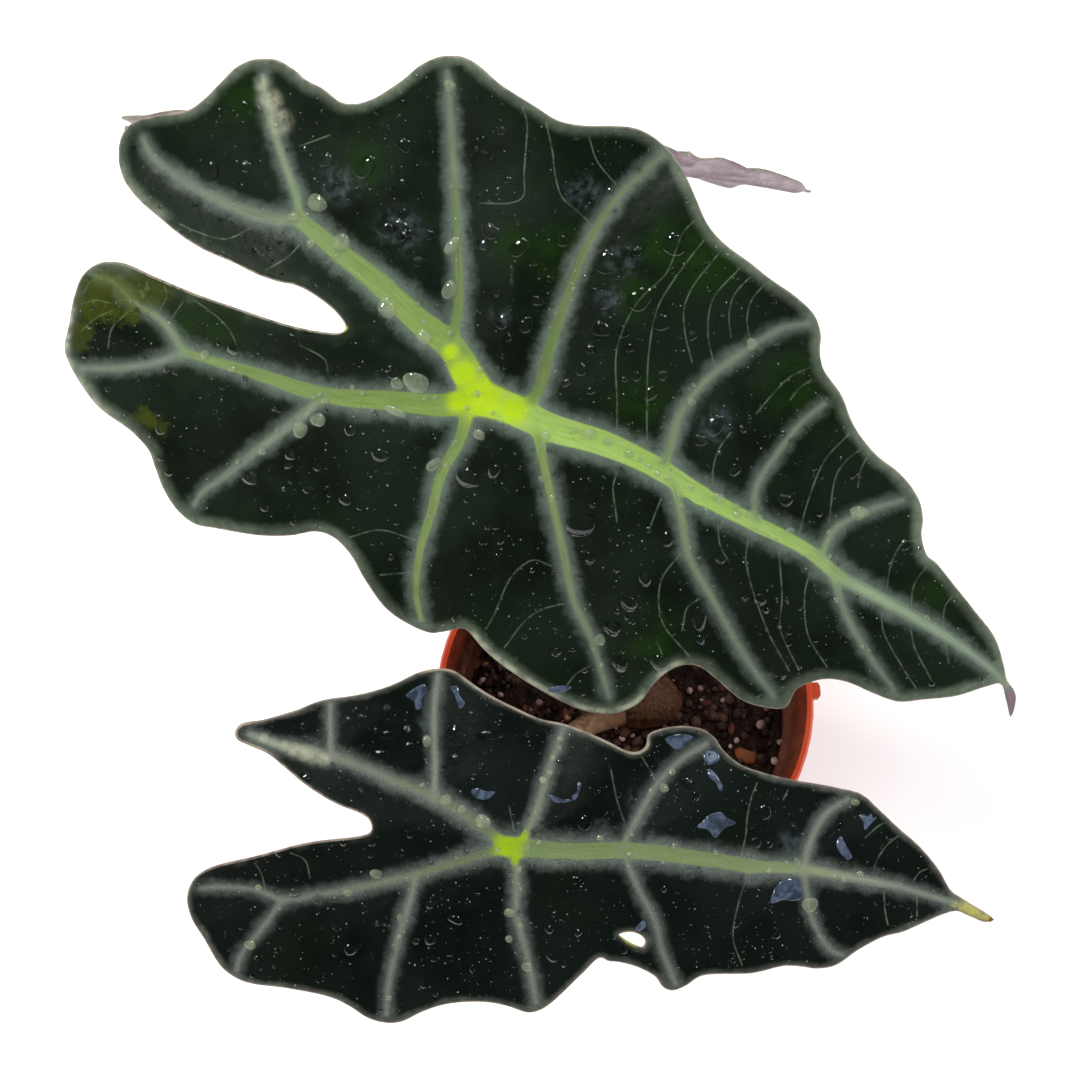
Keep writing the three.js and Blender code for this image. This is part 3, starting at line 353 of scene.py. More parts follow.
# Patches of other colour: pixel place, radius in pixels
LARGE_SPOTS = {
    "glow": "482,398,27 464,374,17 451,352,9 513,410,17 458,402,13",
    "lime": "98,286,22 118,288,22 138,288,20 156,292,16 92,308,18 112,310,14 132,312,12 82,330,12 80,342,9 "
            "144,416,9 152,422,9 160,428,8 300,322,7 270,314,6 417,592,7",
    "grassy": "365,165,22 515,245,20 635,295,20 660,245,24 800,390,34 650,640,30 200,330,40 250,100,24 "
              "700,260,40 560,250,30 930,600,24 640,400,30",
    "dusky": "1009,702,13",
    "dry": "346,329,4",
    # pale rim: stretches where the rim is lit, painted as highlights
    "pale_rim": "480,645,16 505,664,20 540,690,24 590,712,22 632,708,20 668,668,18 62,315,15 58,340,18 "
                "56,365,20 68,393,21 88,418,22 116,443,22 134,462,20 142,482,20 152,504,19 168,524,16",
    # beige: lit patches at rib ends, painted as light
    "beige": "279,122,15 270,101,14 262,84,9",
    "plain": "180,240,30 225,260,36 275,278,36 320,302,34 343,326,26 165,284,34 220,305,36 275,323,34 "
             "320,333,26",
    # sky: painted reflections of the sky on the wet skin
    "sky": "400,230,26 340,185,22 715,425,20 585,195,22 622,262,20 610,300,16 500,315,12 560,410,10",
}
SMALL_SPOTS = {
    "glow": "508,846,17 520,836,9 516,858,8",
    "lime": "972,909,16 988,917,10",
    "grassy": "560,900,50 740,830,40 300,950,40",
    "dusky": "993,920,5",
    "dry": "630,940,11",
    # pale rim: stretches where the rim is lit, painted as highlights
    "pale_rim": "440,670,22 480,690,24 520,710,24 565,726,24 610,744,24 640,750,16 242,730,14 260,745,16",
    # beige: lit patches at rib ends, painted as light
    "beige": "264,738,6 274,742,6 284,746,7 294,750,8 304,753,9 314,756,9 324,760,8",
    "plain": "300,782,30 340,805,30 368,828,24 330,842,30 270,852,34 215,868,26",
    # sky: painted reflections of the sky on the wet skin
    "sky": "430,725,14 640,800,14 790,845,16 600,830,12",
}
BACK_SPOTS = {"glow": "484,400,30", "dusky": "1009,702,13"}

# Water drops that stand out in the photograph: pixel place, half width, half height, turn in degrees.
# Clear ones lie on the dark skin, pale ones on the ribs; the pale ones' colour is painted sheen.
LARGE_DROPS = """
    365,167,9,13,10 209,172,9,11 246,166,6,7 325,160,7,9,15 303,149,4,4 385,230,9,9 406,232,7,6
    418,262,6,6 430,235,6,6 438,87,5,4 405,145,8,8 490,231,10,9 482,245,7,6 519,247,9,12,20 563,241,7,7
    502,131,5,5 640,299,12,14,25 674,245,12,12 601,329,10,9 623,332,7,7 605,305,6,6 637,251,6,6
    604,262,12,13 662,323,9,9 693,336,5,6 590,349,6,5 629,348,6,5 581,370,6,7 566,383,5,5 591,391,5,5
    636,376,6,6 663,376,5,6 651,394,7,9 501,321,8,9 526,325,8,9 537,301,7,6 467,478,13,10 494,471,7,8
    581,525,13,15,30 692,402,5,4 612,629,9,8 629,604,9,8 620,664,9,8 660,663,10,8,-20 556,652,6,5
    590,560,5,6 720,498,6,5 715,425,10,12 735,470,7,7 785,500,8,7 858,515,7,6 905,545,6,6 760,600,7,6
    700,440,8,7 345,500,7,6 250,478,9,7 233,350,7,6 205,355,5,5 400,230,13,9,50 720,560,6,5 752,344,6,6
    778,346,5,5 700,618,8,13,-25 668,540,6,8,-20 645,580,8,6,30 700,640,6,5 380,455,10,7 350,430,7,6
    290,455,6,6 160,430,6,5
"""
LARGE_PALE_DROPS = """
    317,203,10,9 294,217,6,5 341,243,9,10,40 311,243,5,5 452,246,6,11 450,86,7,6 449,290,7,10
    416,383,13,11 387,308,11,9,40 424,337,8,8 397,384,7,6 395,411,12,5 479,435,7,5 434,465,6,9,20
    546,435,5,5 575,431,3,3 589,434,7,6 608,442,5,4 629,454,5,4 640,460,3,3 649,466,4,3 661,461,4,3
    658,473,3,3 668,478,4,3 691,488,3,3 300,430,8,8 318,420,8,7 446,465,5,3 860,512,10,6,-20 600,640,6,6
"""
SMALL_DROPS = """
    543,781,4,4 388,710,7,6 387,735,9,5 407,729,5,5 452,732,7,9 453,759,6,6 380,755,10,6 485,735,8,7
    303,726,4,4 306,776,7,5,30 294,893,6,5 521,913,4,4 688,782,7,7 756,843,6,6 765,812,6,9,-15 585,823,7,9
    527,967,6,5 576,880,5,5 735,925,4,4 551,958,7,4,30 560,760,4,4 318,900,6,5 250,945,6,5
    430,940,6,6 350,950,7,6 810,905,8,8 618,795,4,4 408,728,5,5 410,745,5,4 549,930,5,5 430,905,5,5
    455,920,8,5,20 345,720,7,5 480,765,5,5
"""
SMALL_PALE_DROPS = """
    483,822,8,8 446,800,6,6 462,810,5,5 427,741,5,6 543,780,4,4 664,788,5,5 672,772,4,4 510,913,6,5
    509,939,4,4 376,874,6,5 348,893,5,4 553,758,3,3 560,739,3,3 600,838,4,3 855,802,5,4
"""
# Flat puddles whose colour is a painted reflection of the sky, as outlines in pixels
LARGE_PUDDLES = """
    548,690 556,686 572,687 564,692 553,693
"""
SMALL_PUDDLES = """
    406,696 413,689 425,684 427,691 422,699 421,708 416,710 414,702 / 450,687 457,686 460,696 465,703
    460,709 457,702 454,694 / 471,791 477,788 485,791 495,792 491,797 484,800 476,798 / 549,795 557,797
    565,800 570,799 572,801 562,803 554,802 / 572,797 577,791 578,782 581,783 580,791 577,798 573,801 /
    665,739 673,735 685,734 693,737 685,745 679,751 673,748 / 703,756 707,750 716,750 720,758 715,763
    708,765 / 707,769 712,770 718,777 722,784 723,790 719,790 716,783 710,778 / 697,827 703,821 709,815
    721,812 726,817 736,823 725,828 715,838 708,830 / 859,815 864,814 868,816 872,813 873,818 877,817
    870,825 865,830 863,822 / 836,843 841,836 845,843 849,850 852,857 848,860 840,853 / 775,888 783,880
    792,878 800,882 802,891 801,899 792,901 784,900 771,903 / 638,925 644,920 646,926 640,931 635,930
"""


def read(text):
    """Items of a table, which spaces part, as tuples of the numbers between their commas."""
    return [tuple(float(part) for part in item.split(",")) for item in text.split()]


def read_lines(text):
    return [read(line) for line in text.split("/")]


def sight(px, depth):
    """Points in mm that are seen at pixels, at depths along the view's axis."""
    px = np.asarray(px, float)
    right = (px[:, 0] - FRAME_PX / 2) / VIEW_FOCAL_PX
    up = (FRAME_PX / 2 - px[:, 1]) / VIEW_FOCAL_PX
    ray = VIEW_AHEAD + up[:, None] * VIEW_UP + right[:, None] * VIEW_RIGHT
    return EYE + ray * np.asarray(depth)[:, None]


def smooth_curve(points, closed, spacing):
    """Evenly spaced points on a smooth curve through the given ones."""
    points = np.asarray(points, float)
    if closed:
        ring = np.vstack((points[-1:], points, points[:2]))
    else:
        ring = np.vstack((2 * points[:1] - points[1:2], points, 2 * points[-1:] - points[-2:-1]))
    dense = []
    t = np.linspace(0, 1, CURVE_STEPS, endpoint=False)[:, None]
    for a, b, c, d in zip(ring, ring[1:], ring[2:], ring[3:]):
        ab, bc, cd = (max(np.linalg.norm(q - p), 1e-6) ** 0.5 for p, q in ((a, b), (b, c), (c, d)))
        start = ((b - a) / ab - (c - a) / (ab + bc) + (c - b) / bc) * bc
        end = ((c - b) / bc - (d - b) / (bc + cd) + (d - c) / cd) * bc
        dense.append(b * (2 * t**3 - 3 * t**2 + 1) + start * (t**3 - 2 * t**2 + t)
                     + c * (3 * t**2 - 2 * t**3) + end * (t**3 - t**2))
    dense = np.vstack((*dense, ring[-2:-1]))
    length = np.concatenate(([0], np.cumsum(np.linalg.norm(np.diff(dense, axis=0), axis=1))))
    count = max(2, round(length[-1] / spacing))
    places = np.linspace(0, length[-1], count + 1)
    if closed:
        places = places[:-1]
    return np.stack([np.interp(places, length, dense[:, axis]) for axis in range(dense.shape[1])], 1)


def near_line(points, line, reach):
    """Distance from each point to a line, at most reach, and how far along the line that is."""
    start, step = line[:-1], np.diff(line, axis=0)
    size = np.linalg.norm(step, axis=1)
    before = np.concatenate(([0], np.cumsum(size)[:-1]))
    gaps, places = np.full(len(points), float(reach)), np.zeros(len(points))
    for first in range(0, len(step), LINE_RUN):
        run = slice(first, first + LINE_RUN)
        corners = line[first:first + LINE_RUN + 1]
        within = (points > corners.min(0) - reach) & (points < corners.max(0) + reach)
        rows = np.flatnonzero(within[:, 0] & within[:, 1])
        if not len(rows):
            continue
        off = points[rows, None] - start[run]
        share = np.clip((off * step[run]).sum(2) / size[run] ** 2, 0, 1)
        off -= share[..., None] * step[run]
        gap = np.sqrt((off * off).sum(2))
        best = gap.argmin(1)
        order = np.arange(len(rows))
        gap, place = gap[order, best], before[run][best] + share[order, best] * size[run][best]
        closer = gap < gaps[rows]
        gaps[rows[closer]], places[rows[closer]] = gap[closer], place[closer]
    return gaps, places


def inside(points, loop):
    result = np.zeros(len(points), bool)
    for (ax, ay), (bx, by) in zip(loop, np.roll(loop, 1, axis=0)):
        crosses = (ay > points[:, 1]) != (by > points[:, 1])
        if ay != by:
            result ^= crosses & (points[:, 0] < (bx - ax) * (points[:, 1] - ay) / (by - ay) + ax)
    return result


def lattice(cells, seed):
    """Fixed random value from 0 to 1 for each whole-numbered cell."""
    x, y, z = (cells[..., axis] for axis in range(3))
    mixed = (x * 374761393 + y * 668265263 + z * 2147483647 + seed * 1274126177) & 0xFFFFFFFF
    mixed = ((mixed ^ (mixed >> 13)) * 1274126177) & 0xFFFFFFFF
    return ((mixed ^ (mixed >> 16)) & 0xFFFF) / 65535.0


def rough(points, size, seed):
    """Smooth noise from -1 to 1 at points of two or three axes, with features of about that size."""
    points = np.asarray(points, float) / size
    if points.shape[1] == 2:
        points = at_height(points, 0.0)
    base = np.floor(points).astype(np.int64)
    part = points - base
    part = part * part * (3 - 2 * part)
    total = np.zeros(len(points))
    for corner in range(8):
        step = np.array((corner & 1, corner >> 1 & 1, corner >> 2 & 1))
        weight = np.prod(np.where(step, part, 1 - part), axis=1)
        total += weight * lattice(base + step, seed)
    return 2 * total - 1


def relief(points, layers):
    """Sum of noises, each with its height, the size of its features and its seed."""
    return sum(height * rough(points, size, seed) for height, size, seed in layers)


def fade(gap, reach):
    """1 where there is no gap, falling softly to 0 over about that reach."""
    return np.exp(-((gap / reach) ** 2))


def circle(sides):
    """Angles to the corners of a round form, and the ways there in the plan."""
    angle = np.arange(sides) * 2 * math.pi / sides
    return angle, np.stack((np.cos(angle), np.sin(angle)), 1)


def at_height(plan, height):
    """Plan points with one height, or one for each, as their third axis."""
    return np.column_stack((plan, np.full(len(plan), height)))


def closed_form(rings, start, end, flipped=False):
    """Points and faces of a closed round form: rings of points from one end point to the other."""
    sides = len(rings[0])
    points = np.vstack((start, *rings, end))
    last = len(points) - 1
    faces = []
    for side in range(sides):
        after = (side + 1) % sides
        faces.append((0, 1 + after, 1 + side))
        faces.append((last, last - sides + side, last - sides + after))
        for ring in range(len(rings) - 1):
            a, b = 1 + ring * sides + side, 1 + ring * sides + after
            faces.append((a, b, b + sides, a + sides))
    if flipped:
        faces = [(face[0], *face[:0:-1]) for face in faces]
    return points, faces


def joined(forms):
    """Points and faces of several forms as one."""
    faces, count = [], 0
    for points, form_faces in forms:
        faces += [[corner + count for corner in face] for face in form_faces]
        count += len(points)
    return np.vstack([points for points, _ in forms]), faces


class Leaf:
    """A blade's plan in mm (first axis to the tip, second to the far side) and its place in space."""

    # 1 where the plan is seen as it is, -1 where it is mirrored
    facing = 1

    def __init__(self, seat, tip, depth, droop, margin, tears, ribs, veins, spots):
        self.seat_px = np.array(seat, float)
        step = np.array((tip[0] - seat[0], seat[1] - tip[1]), float)
        self.turn = step / np.linalg.norm(step)
        self.scale = depth / VIEW_FOCAL_PX
        self.depth = depth
        self.droop_shape = droop
        self.margin = smooth_curve(self.to_plan(read(margin)), True, MARGIN_STEP)
        self.tears = [self.to_plan(read(tear)) for tear in tears]
        self.ribs = [(*looks, smooth_curve(self.to_plan(read(px)), False, RIB_STEP)) for *looks, px in ribs]
        self.veins = [smooth_curve(self.to_plan(px), False, VEIN_STEP) for px in read_lines(veins)]
        self.spots = {
            name: [(self.to_plan([(x, y)])[0], radius * self.scale) for x, y, radius in read(places)]
            for name, places in spots.items()
        }

    def to_plan(self, px):
        px = np.asarray(px, float)
        x, y = (px[:, 0] - self.seat_px[0]) * self.scale, (self.seat_px[1] - px[:, 1]) * self.scale
        c, s = self.turn
        return np.stack((x * c + y * s, y * c - x * s), 1)

    def to_pixel(self, plan):
        c, s = self.turn
        x, y = plan[:, 0] * c - plan[:, 1] * s, plan[:, 0] * s + plan[:, 1] * c
        return np.stack((self.seat_px[0] + x / self.scale, self.seat_px[1] - y / self.scale), 1)

    def droop(self, plan):
        tip_reach, tip_drop, lobe_reach, lobe_drop, far_slope, near_slope = self.droop_shape
        along, across = plan[:, 0], plan[:, 1]
        tip = tip_drop * (np.maximum(along, 0) / tip_reach) ** DROOP_POWER
        lobe = lobe_drop * (np.maximum(-along, 0) / lobe_reach) ** DROOP_POWER
        side = np.sqrt(across * across + KEEL_RADIUS**2) - KEEL_RADIUS
        return np.where(along > 0, tip, lobe) + np.where(across > 0, far_slope, near_slope) * side

    def place(self, plan, lift):
        return sight(self.to_pixel(plan), self.depth + self.droop(plan) - lift)

    def rim_gap(self, plan):
        """Distance to the nearest edge, the edges of tears included."""
        loops = [self.margin, *self.tears]
        return np.min([near_line(plan, np.vstack((loop, loop[:1])), RIM_REACH)[0] for loop in loops], axis=0)

    def describe(self, plan):
        """What the shape and the colour need to know at each point of the plan."""
        count = len(plan)
        facts = {name: np.zeros(count) for name in ("ridge", "along")}
        nearest, fine = np.full(count, RIB_REACH), np.full(count, FINE_REACH)
        cores, halos, greens, lights, strengths, weights = (np.full(count, TINY) for _ in range(6))
        for index, (ridge, (wide, narrow), (first, last), light, line) in enumerate(self.ribs):
            gap, along = near_line(plan, line, RIB_REACH)
            share = along / np.linalg.norm(np.diff(line, axis=0), axis=1).sum()
            width = wide + (narrow - wide) * share
            green = first + (last - first) * share
            edge = gap - width
            weight = np.exp(-edge / GREEN_BLEND)
            halo_width = HALO_WIDTH + HALO_GROWTH * np.minimum(width, HALO_WIDEST)
            cores += np.exp(-edge / CORE_BLEND)
            halos += np.exp(-edge / halo_width / HALO_BLEND)
            greens += green * weight
            lights += np.minimum(light + FAR_RIB_LIGHT * (1 - green), 1) * weight
            strengths += np.minimum(THIN_HALO + (1 - THIN_HALO) * width / FULL_HALO, 1) * weight
            weights += weight
            facts["ridge"] = np.maximum(facts["ridge"], ridge * (1 - (gap / RIB_SIDE) ** 2))
            facts["along"] = np.where(gap < nearest, along + NEXT_RIB * index, facts["along"])
            nearest = np.minimum(nearest, gap)
        for vein in self.veins:
            fine = np.minimum(fine, near_line(plan, vein, FINE_REACH)[0])
        facts["core"], facts["halo"] = -CORE_BLEND * np.log(cores), -HALO_BLEND * np.log(halos)
        facts["green"], facts["light"] = greens / weights, lights / weights
        facts["strength"] = strengths / weights
        facts["rib"], facts["rim"], facts["fine"] = nearest, self.rim_gap(plan), fine
        for name, places in self.spots.items():
            fades = [fade(np.linalg.norm(plan - centre, axis=1), radius) for centre, radius in places]
            facts[name] = np.max(fades, axis=0)
        return facts

    def lift(self, plan, facts):
        """Height of the upper skin: domed between ribs, puckered, grooved on ribs and creased on veins."""
        domed = 1 - fade(facts["rib"], QUILT_REACH)
        smooth = domed * (QUILT_HEIGHT + EDGE_WAVE * np.exp(-facts["rim"] / EDGE_REACH))
        pucker = relief(plan, PUCKERS)
        groove = GROOVE_DEPTH * fade(facts["rib"], GROOVE_REACH) * np.clip(facts["ridge"] / FULL_RIDGE, 0, 1)
        crease = CREASE_DEPTH * fade(facts["fine"], CREASE_REACH)
        calm = np.clip(facts["rim"] / CALM_EDGE, 0, 1)
        return smooth + (pucker * domed - crease) * calm - groove * calm


class BackLeaf(Leaf):
    """The large blade's plan made smaller, mirrored and stood nearly edge-on to the eye."""

    facing = -1

    def stand(self):
        lobe = sight([BACK_LOBE_PX], [BACK_LOBE_DEPTH])[0]
        tip = sight([BACK_TIP_PX], [BACK_TIP_DEPTH])[0]
        self.root = lobe + BACK_SEAT_SHARE * (tip - lobe)
        self.along = (tip - lobe) / np.linalg.norm(tip - lobe)
        ray = self.root + BACK_FACING_SHARE * (tip - self.root) - EYE
        away = ray - ray.dot(self.along) * self.along
        turn = Matrix.Rotation(-BACK_TILT, 3, Vector(self.along))
        self.across = np.array(turn @ Vector(away / np.linalg.norm(away)))
        self.face = np.cross(self.along, self.across)

    def place(self, plan, lift):
        lifted = BACK_RELIEF * np.asarray(lift) - self.droop(plan * np.array((1, -1)))
        return (self.root + BACK_SCALE * plan[:, :1] * self.along - BACK_SCALE * plan[:, 1:] * self.across
                + lifted[:, None] * self.face)


def put(name, data):
    """Object of that name, in the scene."""
    thing = bpy.data.objects.new(name, data)
    bpy.context.scene.collection.objects.link(thing)
    return thing


def new_object(name, points, faces, materials, picks=None, facts=None):
    """Smooth-shaded object in metres from points in mm. picks gives each face's material."""
    mesh = bpy.data.meshes.new(name)
    mesh.from_pydata((np.asarray(points) * MM).tolist(), [], [list(map(int, face)) for face in faces])
    for material in materials:
        mesh.materials.append(material)
    if picks is not None:
        mesh.polygons.foreach_set("material_index", np.asarray(picks, np.int32))
    for key, values in (facts or {}).items():
        mesh.attributes.new(key, "FLOAT", "POINT").data.foreach_set("value", np.asarray(values, np.float32))
    mesh.polygons.foreach_set("use_smooth", np.ones(len(mesh.polygons), bool))
    mesh.update()
    return put(name, mesh)


def place_piece(thing, slot, stands_for=None):
    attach(thing, "root")
    if stands_for:
        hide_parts(stands_for)


def spread(points, gap):
    """Leaves out each point that is nearer than gap to an earlier one."""
    taken, kept = {}, []
    for point in points:
        cell = (math.floor(point[0] / gap), math.floor(point[1] / gap))
        near = (taken.get((cell[0] + i, cell[1] + j)) for i in (-1, 0, 1) for j in (-1, 0, 1))
        if all(other is None or math.dist(other, point) >= gap for other in near):
            taken[cell] = point
            kept.append(point)
    return np.array(kept)


def plan_points(leaf, spacing):
    """Loops of a blade's edges, and points within them that follow its ribs and veins."""
    loops = [leaf.margin] + [smooth_curve(tear, True, TEAR_STEP) for tear in leaf.tears]
    lines = [rib[-1] for rib in leaf.ribs] + leaf.veins
    along = np.vstack([smooth_curve(line, False, ALONG_SHARE * spacing) for line in lines])
    low, high = leaf.margin.min(0), leaf.margin.max(0)
    rows = np.arange(low[1], high[1], ROW_SHARE * spacing)
    columns = np.arange(low[0], high[0], spacing)
    grid = np.array([(x + (index % 2) * spacing / 2, y) for index, y in enumerate(rows) for x in columns])
    random = np.random.default_rng(JITTER_SEED)
    grid += random.uniform(-JITTER_SHARE, JITTER_SHARE, grid.shape) * spacing
    free = np.ones(len(grid), bool)
    for line in lines:
        free &= near_line(grid, line, spacing)[0] > CLEAR_SHARE * spacing
    points = spread(np.vstack((along, grid[free])), APART_SHARE * spacing)
    points = points[inside(points, leaf.margin)]
    for tear in leaf.tears:
        points = points[~inside(points, tear)]
    return loops, points[leaf.rim_gap(points) > CLEAR_SHARE * spacing]


def plan_faces(loops, points):
    """Points and triangles between the edges of a blade, all turned the same way."""
    corners = np.vstack(loops + [points])
    edges, first = [], 0
    for loop in loops:
        edges += [(first + i, first + (i + 1) % len(loop)) for i in range(len(loop))]
        first += len(loop)
    flat, _, faces, _, _, _ = delaunay_2d_cdt([Vector(corner) for corner in corners], edges, [], 0, 1e-6)
    flat = np.array(flat)
    faces = np.array(faces)
    middle = flat[faces].mean(1)
    within = inside(middle, loops[0])
    for tear in loops[1:]:
        within &= ~inside(middle, tear)
    faces = faces[within]
    a, b, c = (flat[faces[:, i]] for i in range(3))
    area = (b[:, 0] - a[:, 0]) * (c[:, 1] - a[:, 1]) - (c[:, 0] - a[:, 0]) * (b[:, 1] - a[:, 1])
    faces[area < 0] = faces[area < 0][:, ::-1]
    faces = faces[abs(area) > LEAST_FACE]
    used, renamed = np.unique(faces, return_inverse=True)
    return flat[used], renamed.reshape(faces.shape)


def point_normals(points, faces):
    across = np.cross(points[faces[:, 1]] - points[faces[:, 0]], points[faces[:, 2]] - points[faces[:, 0]])
    normals = np.zeros_like(points)
    for corner in range(3):
        np.add.at(normals, faces[:, corner], across)
    return normals / np.maximum(np.linalg.norm(normals, axis=1), TINY)[:, None]


def open_edges(faces):
    """Edges that only one triangle has, in its own direction."""
    edges = dict.fromkeys(edge for a, b, c in faces.tolist() for edge in ((a, b), (b, c), (c, a)))
    return [edge for edge in edges if edge[::-1] not in edges]


def build_blade(leaf, name, spacing, materials):
    """Upper face, the same triangles below it, and a wall round every edge."""
    flat, faces = plan_faces(*plan_points(leaf, spacing))
    facts = leaf.describe(flat)
    upper = leaf.place(flat, leaf.lift(flat, facts))
    if leaf.facing < 0:
        faces = faces[:, ::-1]
    taper = np.clip(facts["rim"] / EDGE_TAPER, 0, 1)
    thick = BLADE_THICKNESS * (EDGE_THICKNESS + (1 - EDGE_THICKNESS) * taper)
    swell = facts["ridge"] * np.clip(facts["rim"] / RIDGE_TAPER, RIDGE_LEAST, 1)
    lower = upper - point_normals(upper, faces) * (thick + swell)[:, None]
    count = len(flat)
    walls = [(b, a, a + count, b + count) for a, b in open_edges(faces)]
    below = faces[:, ::-1] + count
    picks = [0] * len(faces) + [1] * len(below) + [0] * len(walls)
    both = {key: np.concatenate((value, value)) for key, value in facts.items()}
    faces = faces.tolist() + below.tolist() + walls
    return new_object(name, np.vstack((upper, lower)), faces, materials, picks, both)


def drop_fineness(size):
    return next((sides, rings) for limit, sides, rings in DROP_FINENESS if size < limit)


def drop_outline(half_wide, half_high, turn, random):
    """Edge of a drop round its centre, never quite an ellipse."""
    size = math.sqrt(half_wide * half_high)
    angle, way = circle(drop_fineness(size)[0])
    bend = SMALL_DROP_BEND if size < LARGE_DROP else LARGE_DROP_BEND
    uneven = sum((bend * np.sin(waves * angle + random.random() * 6) for waves in (2, 3)), 1)
    x, y = half_wide * uneven * way[:, 0], half_high * uneven * way[:, 1]
    return np.stack((x * math.cos(turn) - y * math.sin(turn), x * math.sin(turn) + y * math.cos(turn)), 1)


def marked_drops(leaf, marked, seed):
    """Centre and edge of each drop that is listed."""
    random = np.random.default_rng(seed)
    drops = []
    for x, y, wide, high, *turn in read(marked):
        edge = drop_outline(wide * leaf.scale, high * leaf.scale, -math.radians(sum(turn)), random)
        drops.append((leaf.to_plan([(x, y)])[0], edge))
    return drops


def puddle_drops(leaf, outlines):
    """Centre and edge of each puddle that is drawn."""
    drops = []
    for outline in read_lines(outlines):
        edge = smooth_curve(leaf.to_plan(outline), True, PUDDLE_STEP)
        centre = edge.mean(0)
        after = np.roll(edge, -1, axis=0)
        if (edge[:, 0] * after[:, 1] - after[:, 0] * edge[:, 1]).sum() < 0:
            edge = edge[::-1]
        drops.append((centre, edge - centre))
    return drops


def small_drops(leaf, taken, count, sizes, seed):
    """Centre and edge of many small drops that keep clear of the others and of the rim."""
    random = np.random.default_rng(seed)
    candidates = random.uniform(leaf.margin.min(0), leaf.margin.max(0), (count * 3, 2))
    candidates = candidates[inside(candidates, leaf.margin)]
    candidates = candidates[leaf.rim_gap(candidates) > DROP_CLEARANCE][:count]
    places = np.array([centre for centre, _ in taken])
    reaches = np.array([np.linalg.norm(edge, axis=1).max() for _, edge in taken])
    drops = []
    for centre in candidates:
        size = sizes[0] + sizes[1] * random.random() ** SMALL_DROP_POWER
        stretch = 1 + SMALL_DROP_STRETCH * random.random()
        if (np.linalg.norm(places - centre, axis=1) > reaches + size).all():
            edge = drop_outline(size * stretch, size / stretch, random.random() * math.pi, random)
            drops.append((centre, edge))
            places = np.vstack((places, centre))
            reaches = np.append(reaches, size)
    return drops


def drop_form(centre, edge, flat):
    """Closed dome over the plan, with its rise above the skin as its third axis."""
    size = np.linalg.norm(edge, axis=1).mean()
    height = DROP_STEEPNESS * min(size, LARGE_DROP) + WIDE_STEEPNESS * max(size - LARGE_DROP, 0)
    roundness = DROP_ROUNDNESS
    if flat:
        height, roundness = PUDDLE_DEPTH, PUDDLE_ROUNDNESS
    rings = [at_height(centre + share * edge, height * (1 - share**roundness) ** DROP_SHOULDER + DROP_LIP)
             for share in drop_fineness(size)[1]]
    rings.append(at_height(centre + edge, -DROP_SUNK))
    return closed_form(rings, (*centre, height), (*centre, -DROP_SUNK), flipped=True)


def build_drops(leaf, name, drops, material, flat):
    """Closed domes of water that follow the blade they sit on."""
    points, faces = joined([drop_form(centre, edge, flat) for centre, edge in drops])
    plan, rise = points[:, :2], points[:, 2]
    points = leaf.place(plan, leaf.lift(plan, leaf.describe(plan)) + rise)
    return new_object(name, points, faces, [material])


def wet_leaf(key, leaf, water, marked, pale, puddles, spray):
    """All the water on one blade. Clear drops that lie on a rib take the pale drops' painted sheen too."""
    count, painted_glint_specks, seed = spray
    clear, milky = marked_drops(leaf, marked, seed), marked_drops(leaf, pale, seed + 1)
    pools = puddle_drops(leaf, puddles)
    clear += small_drops(leaf, clear + milky + pools, count, SMALL_DROP_SIZES, seed + 2)
    dots = small_drops(leaf, clear + milky + pools, painted_glint_specks, SPECK_SIZES, seed + 3)
    on_rib = leaf.describe(np.array([centre for centre, _ in clear]))["core"] < ON_RIB
    milky += [drop for drop, pale_below in zip(clear, on_rib) if pale_below]
    clear = [drop for drop, pale_below in zip(clear, on_rib) if not pale_below]
    for kind, drops in {"drops": clear, "pale_drops": milky, "painted_glint_specks": dots, "puddles": pools}.items():
        place_piece(build_drops(leaf, f"{kind}_{key}", drops, water[kind], kind == "puddles"), "blade")


def build_stalk(name, path, material):
    """Round stalk along a smooth curve, lightly grooved and closed at both ends by domes."""
    line = smooth_curve(path, False, STALK_STEP)
    radius = np.interp(np.linspace(0, 1, len(line)), np.linspace(0, 1, len(STALK_RADII)), STALK_RADII)
    tangents = np.gradient(line, axis=0)
    tangents /= np.linalg.norm(tangents, axis=1)[:, None]
    foot, head = tangents[0] * radius[0], tangents[-1] * radius[-1]
    sections = [(line[0] - foot * out, tangents[0], radius[0] * narrow) for out, narrow in STALK_DOME]
    sections += zip(line, tangents, radius)
    sections += [(line[-1] + head * out, tangents[-1], radius[-1] * narrow)
                 for out, narrow in STALK_DOME[::-1]]
    normal = np.cross(tangents[0], (0.3, 0.9, 0.1))
    angle, way = circle(STALK_SIDES)
    grooves = 1 + STALK_GROOVE_DEPTH * np.cos(angle * STALK_GROOVES)
    rings = []
    for centre, tangent, size in sections:
        normal = normal - tangent * normal.dot(tangent)
        normal /= np.linalg.norm(normal)
        across = way[:, :1] * normal + way[:, 1:] * np.cross(tangent, normal)
        rings.append(centre + (size * grooves)[:, None] * across)
    points, faces = closed_form(rings, line[0] - foot, line[-1] + head)
    reach = np.concatenate(((0,), np.repeat(np.linspace(0, 1, len(rings)), STALK_SIDES), (1,)))
    return new_object(name, points, faces, [material], None, {"reach": reach})


def stalk_end(leaf):
    """Where a stalk's line ends, so that its dome sinks into the thick rib under its blade."""
    points = leaf.place(np.array(((0.0, 0.0), (1.5, 0.0), (0.0, 1.5))), np.zeros(3))
    up = np.cross(points[1] - points[0], points[2] - points[0])
    up *= leaf.facing / np.linalg.norm(up)
    ridge = leaf.ribs[0][0]
    return points[0] - up * (BLADE_THICKNESS + ridge + STALK_RADII[-1] - STALK_TOP_SUNK)


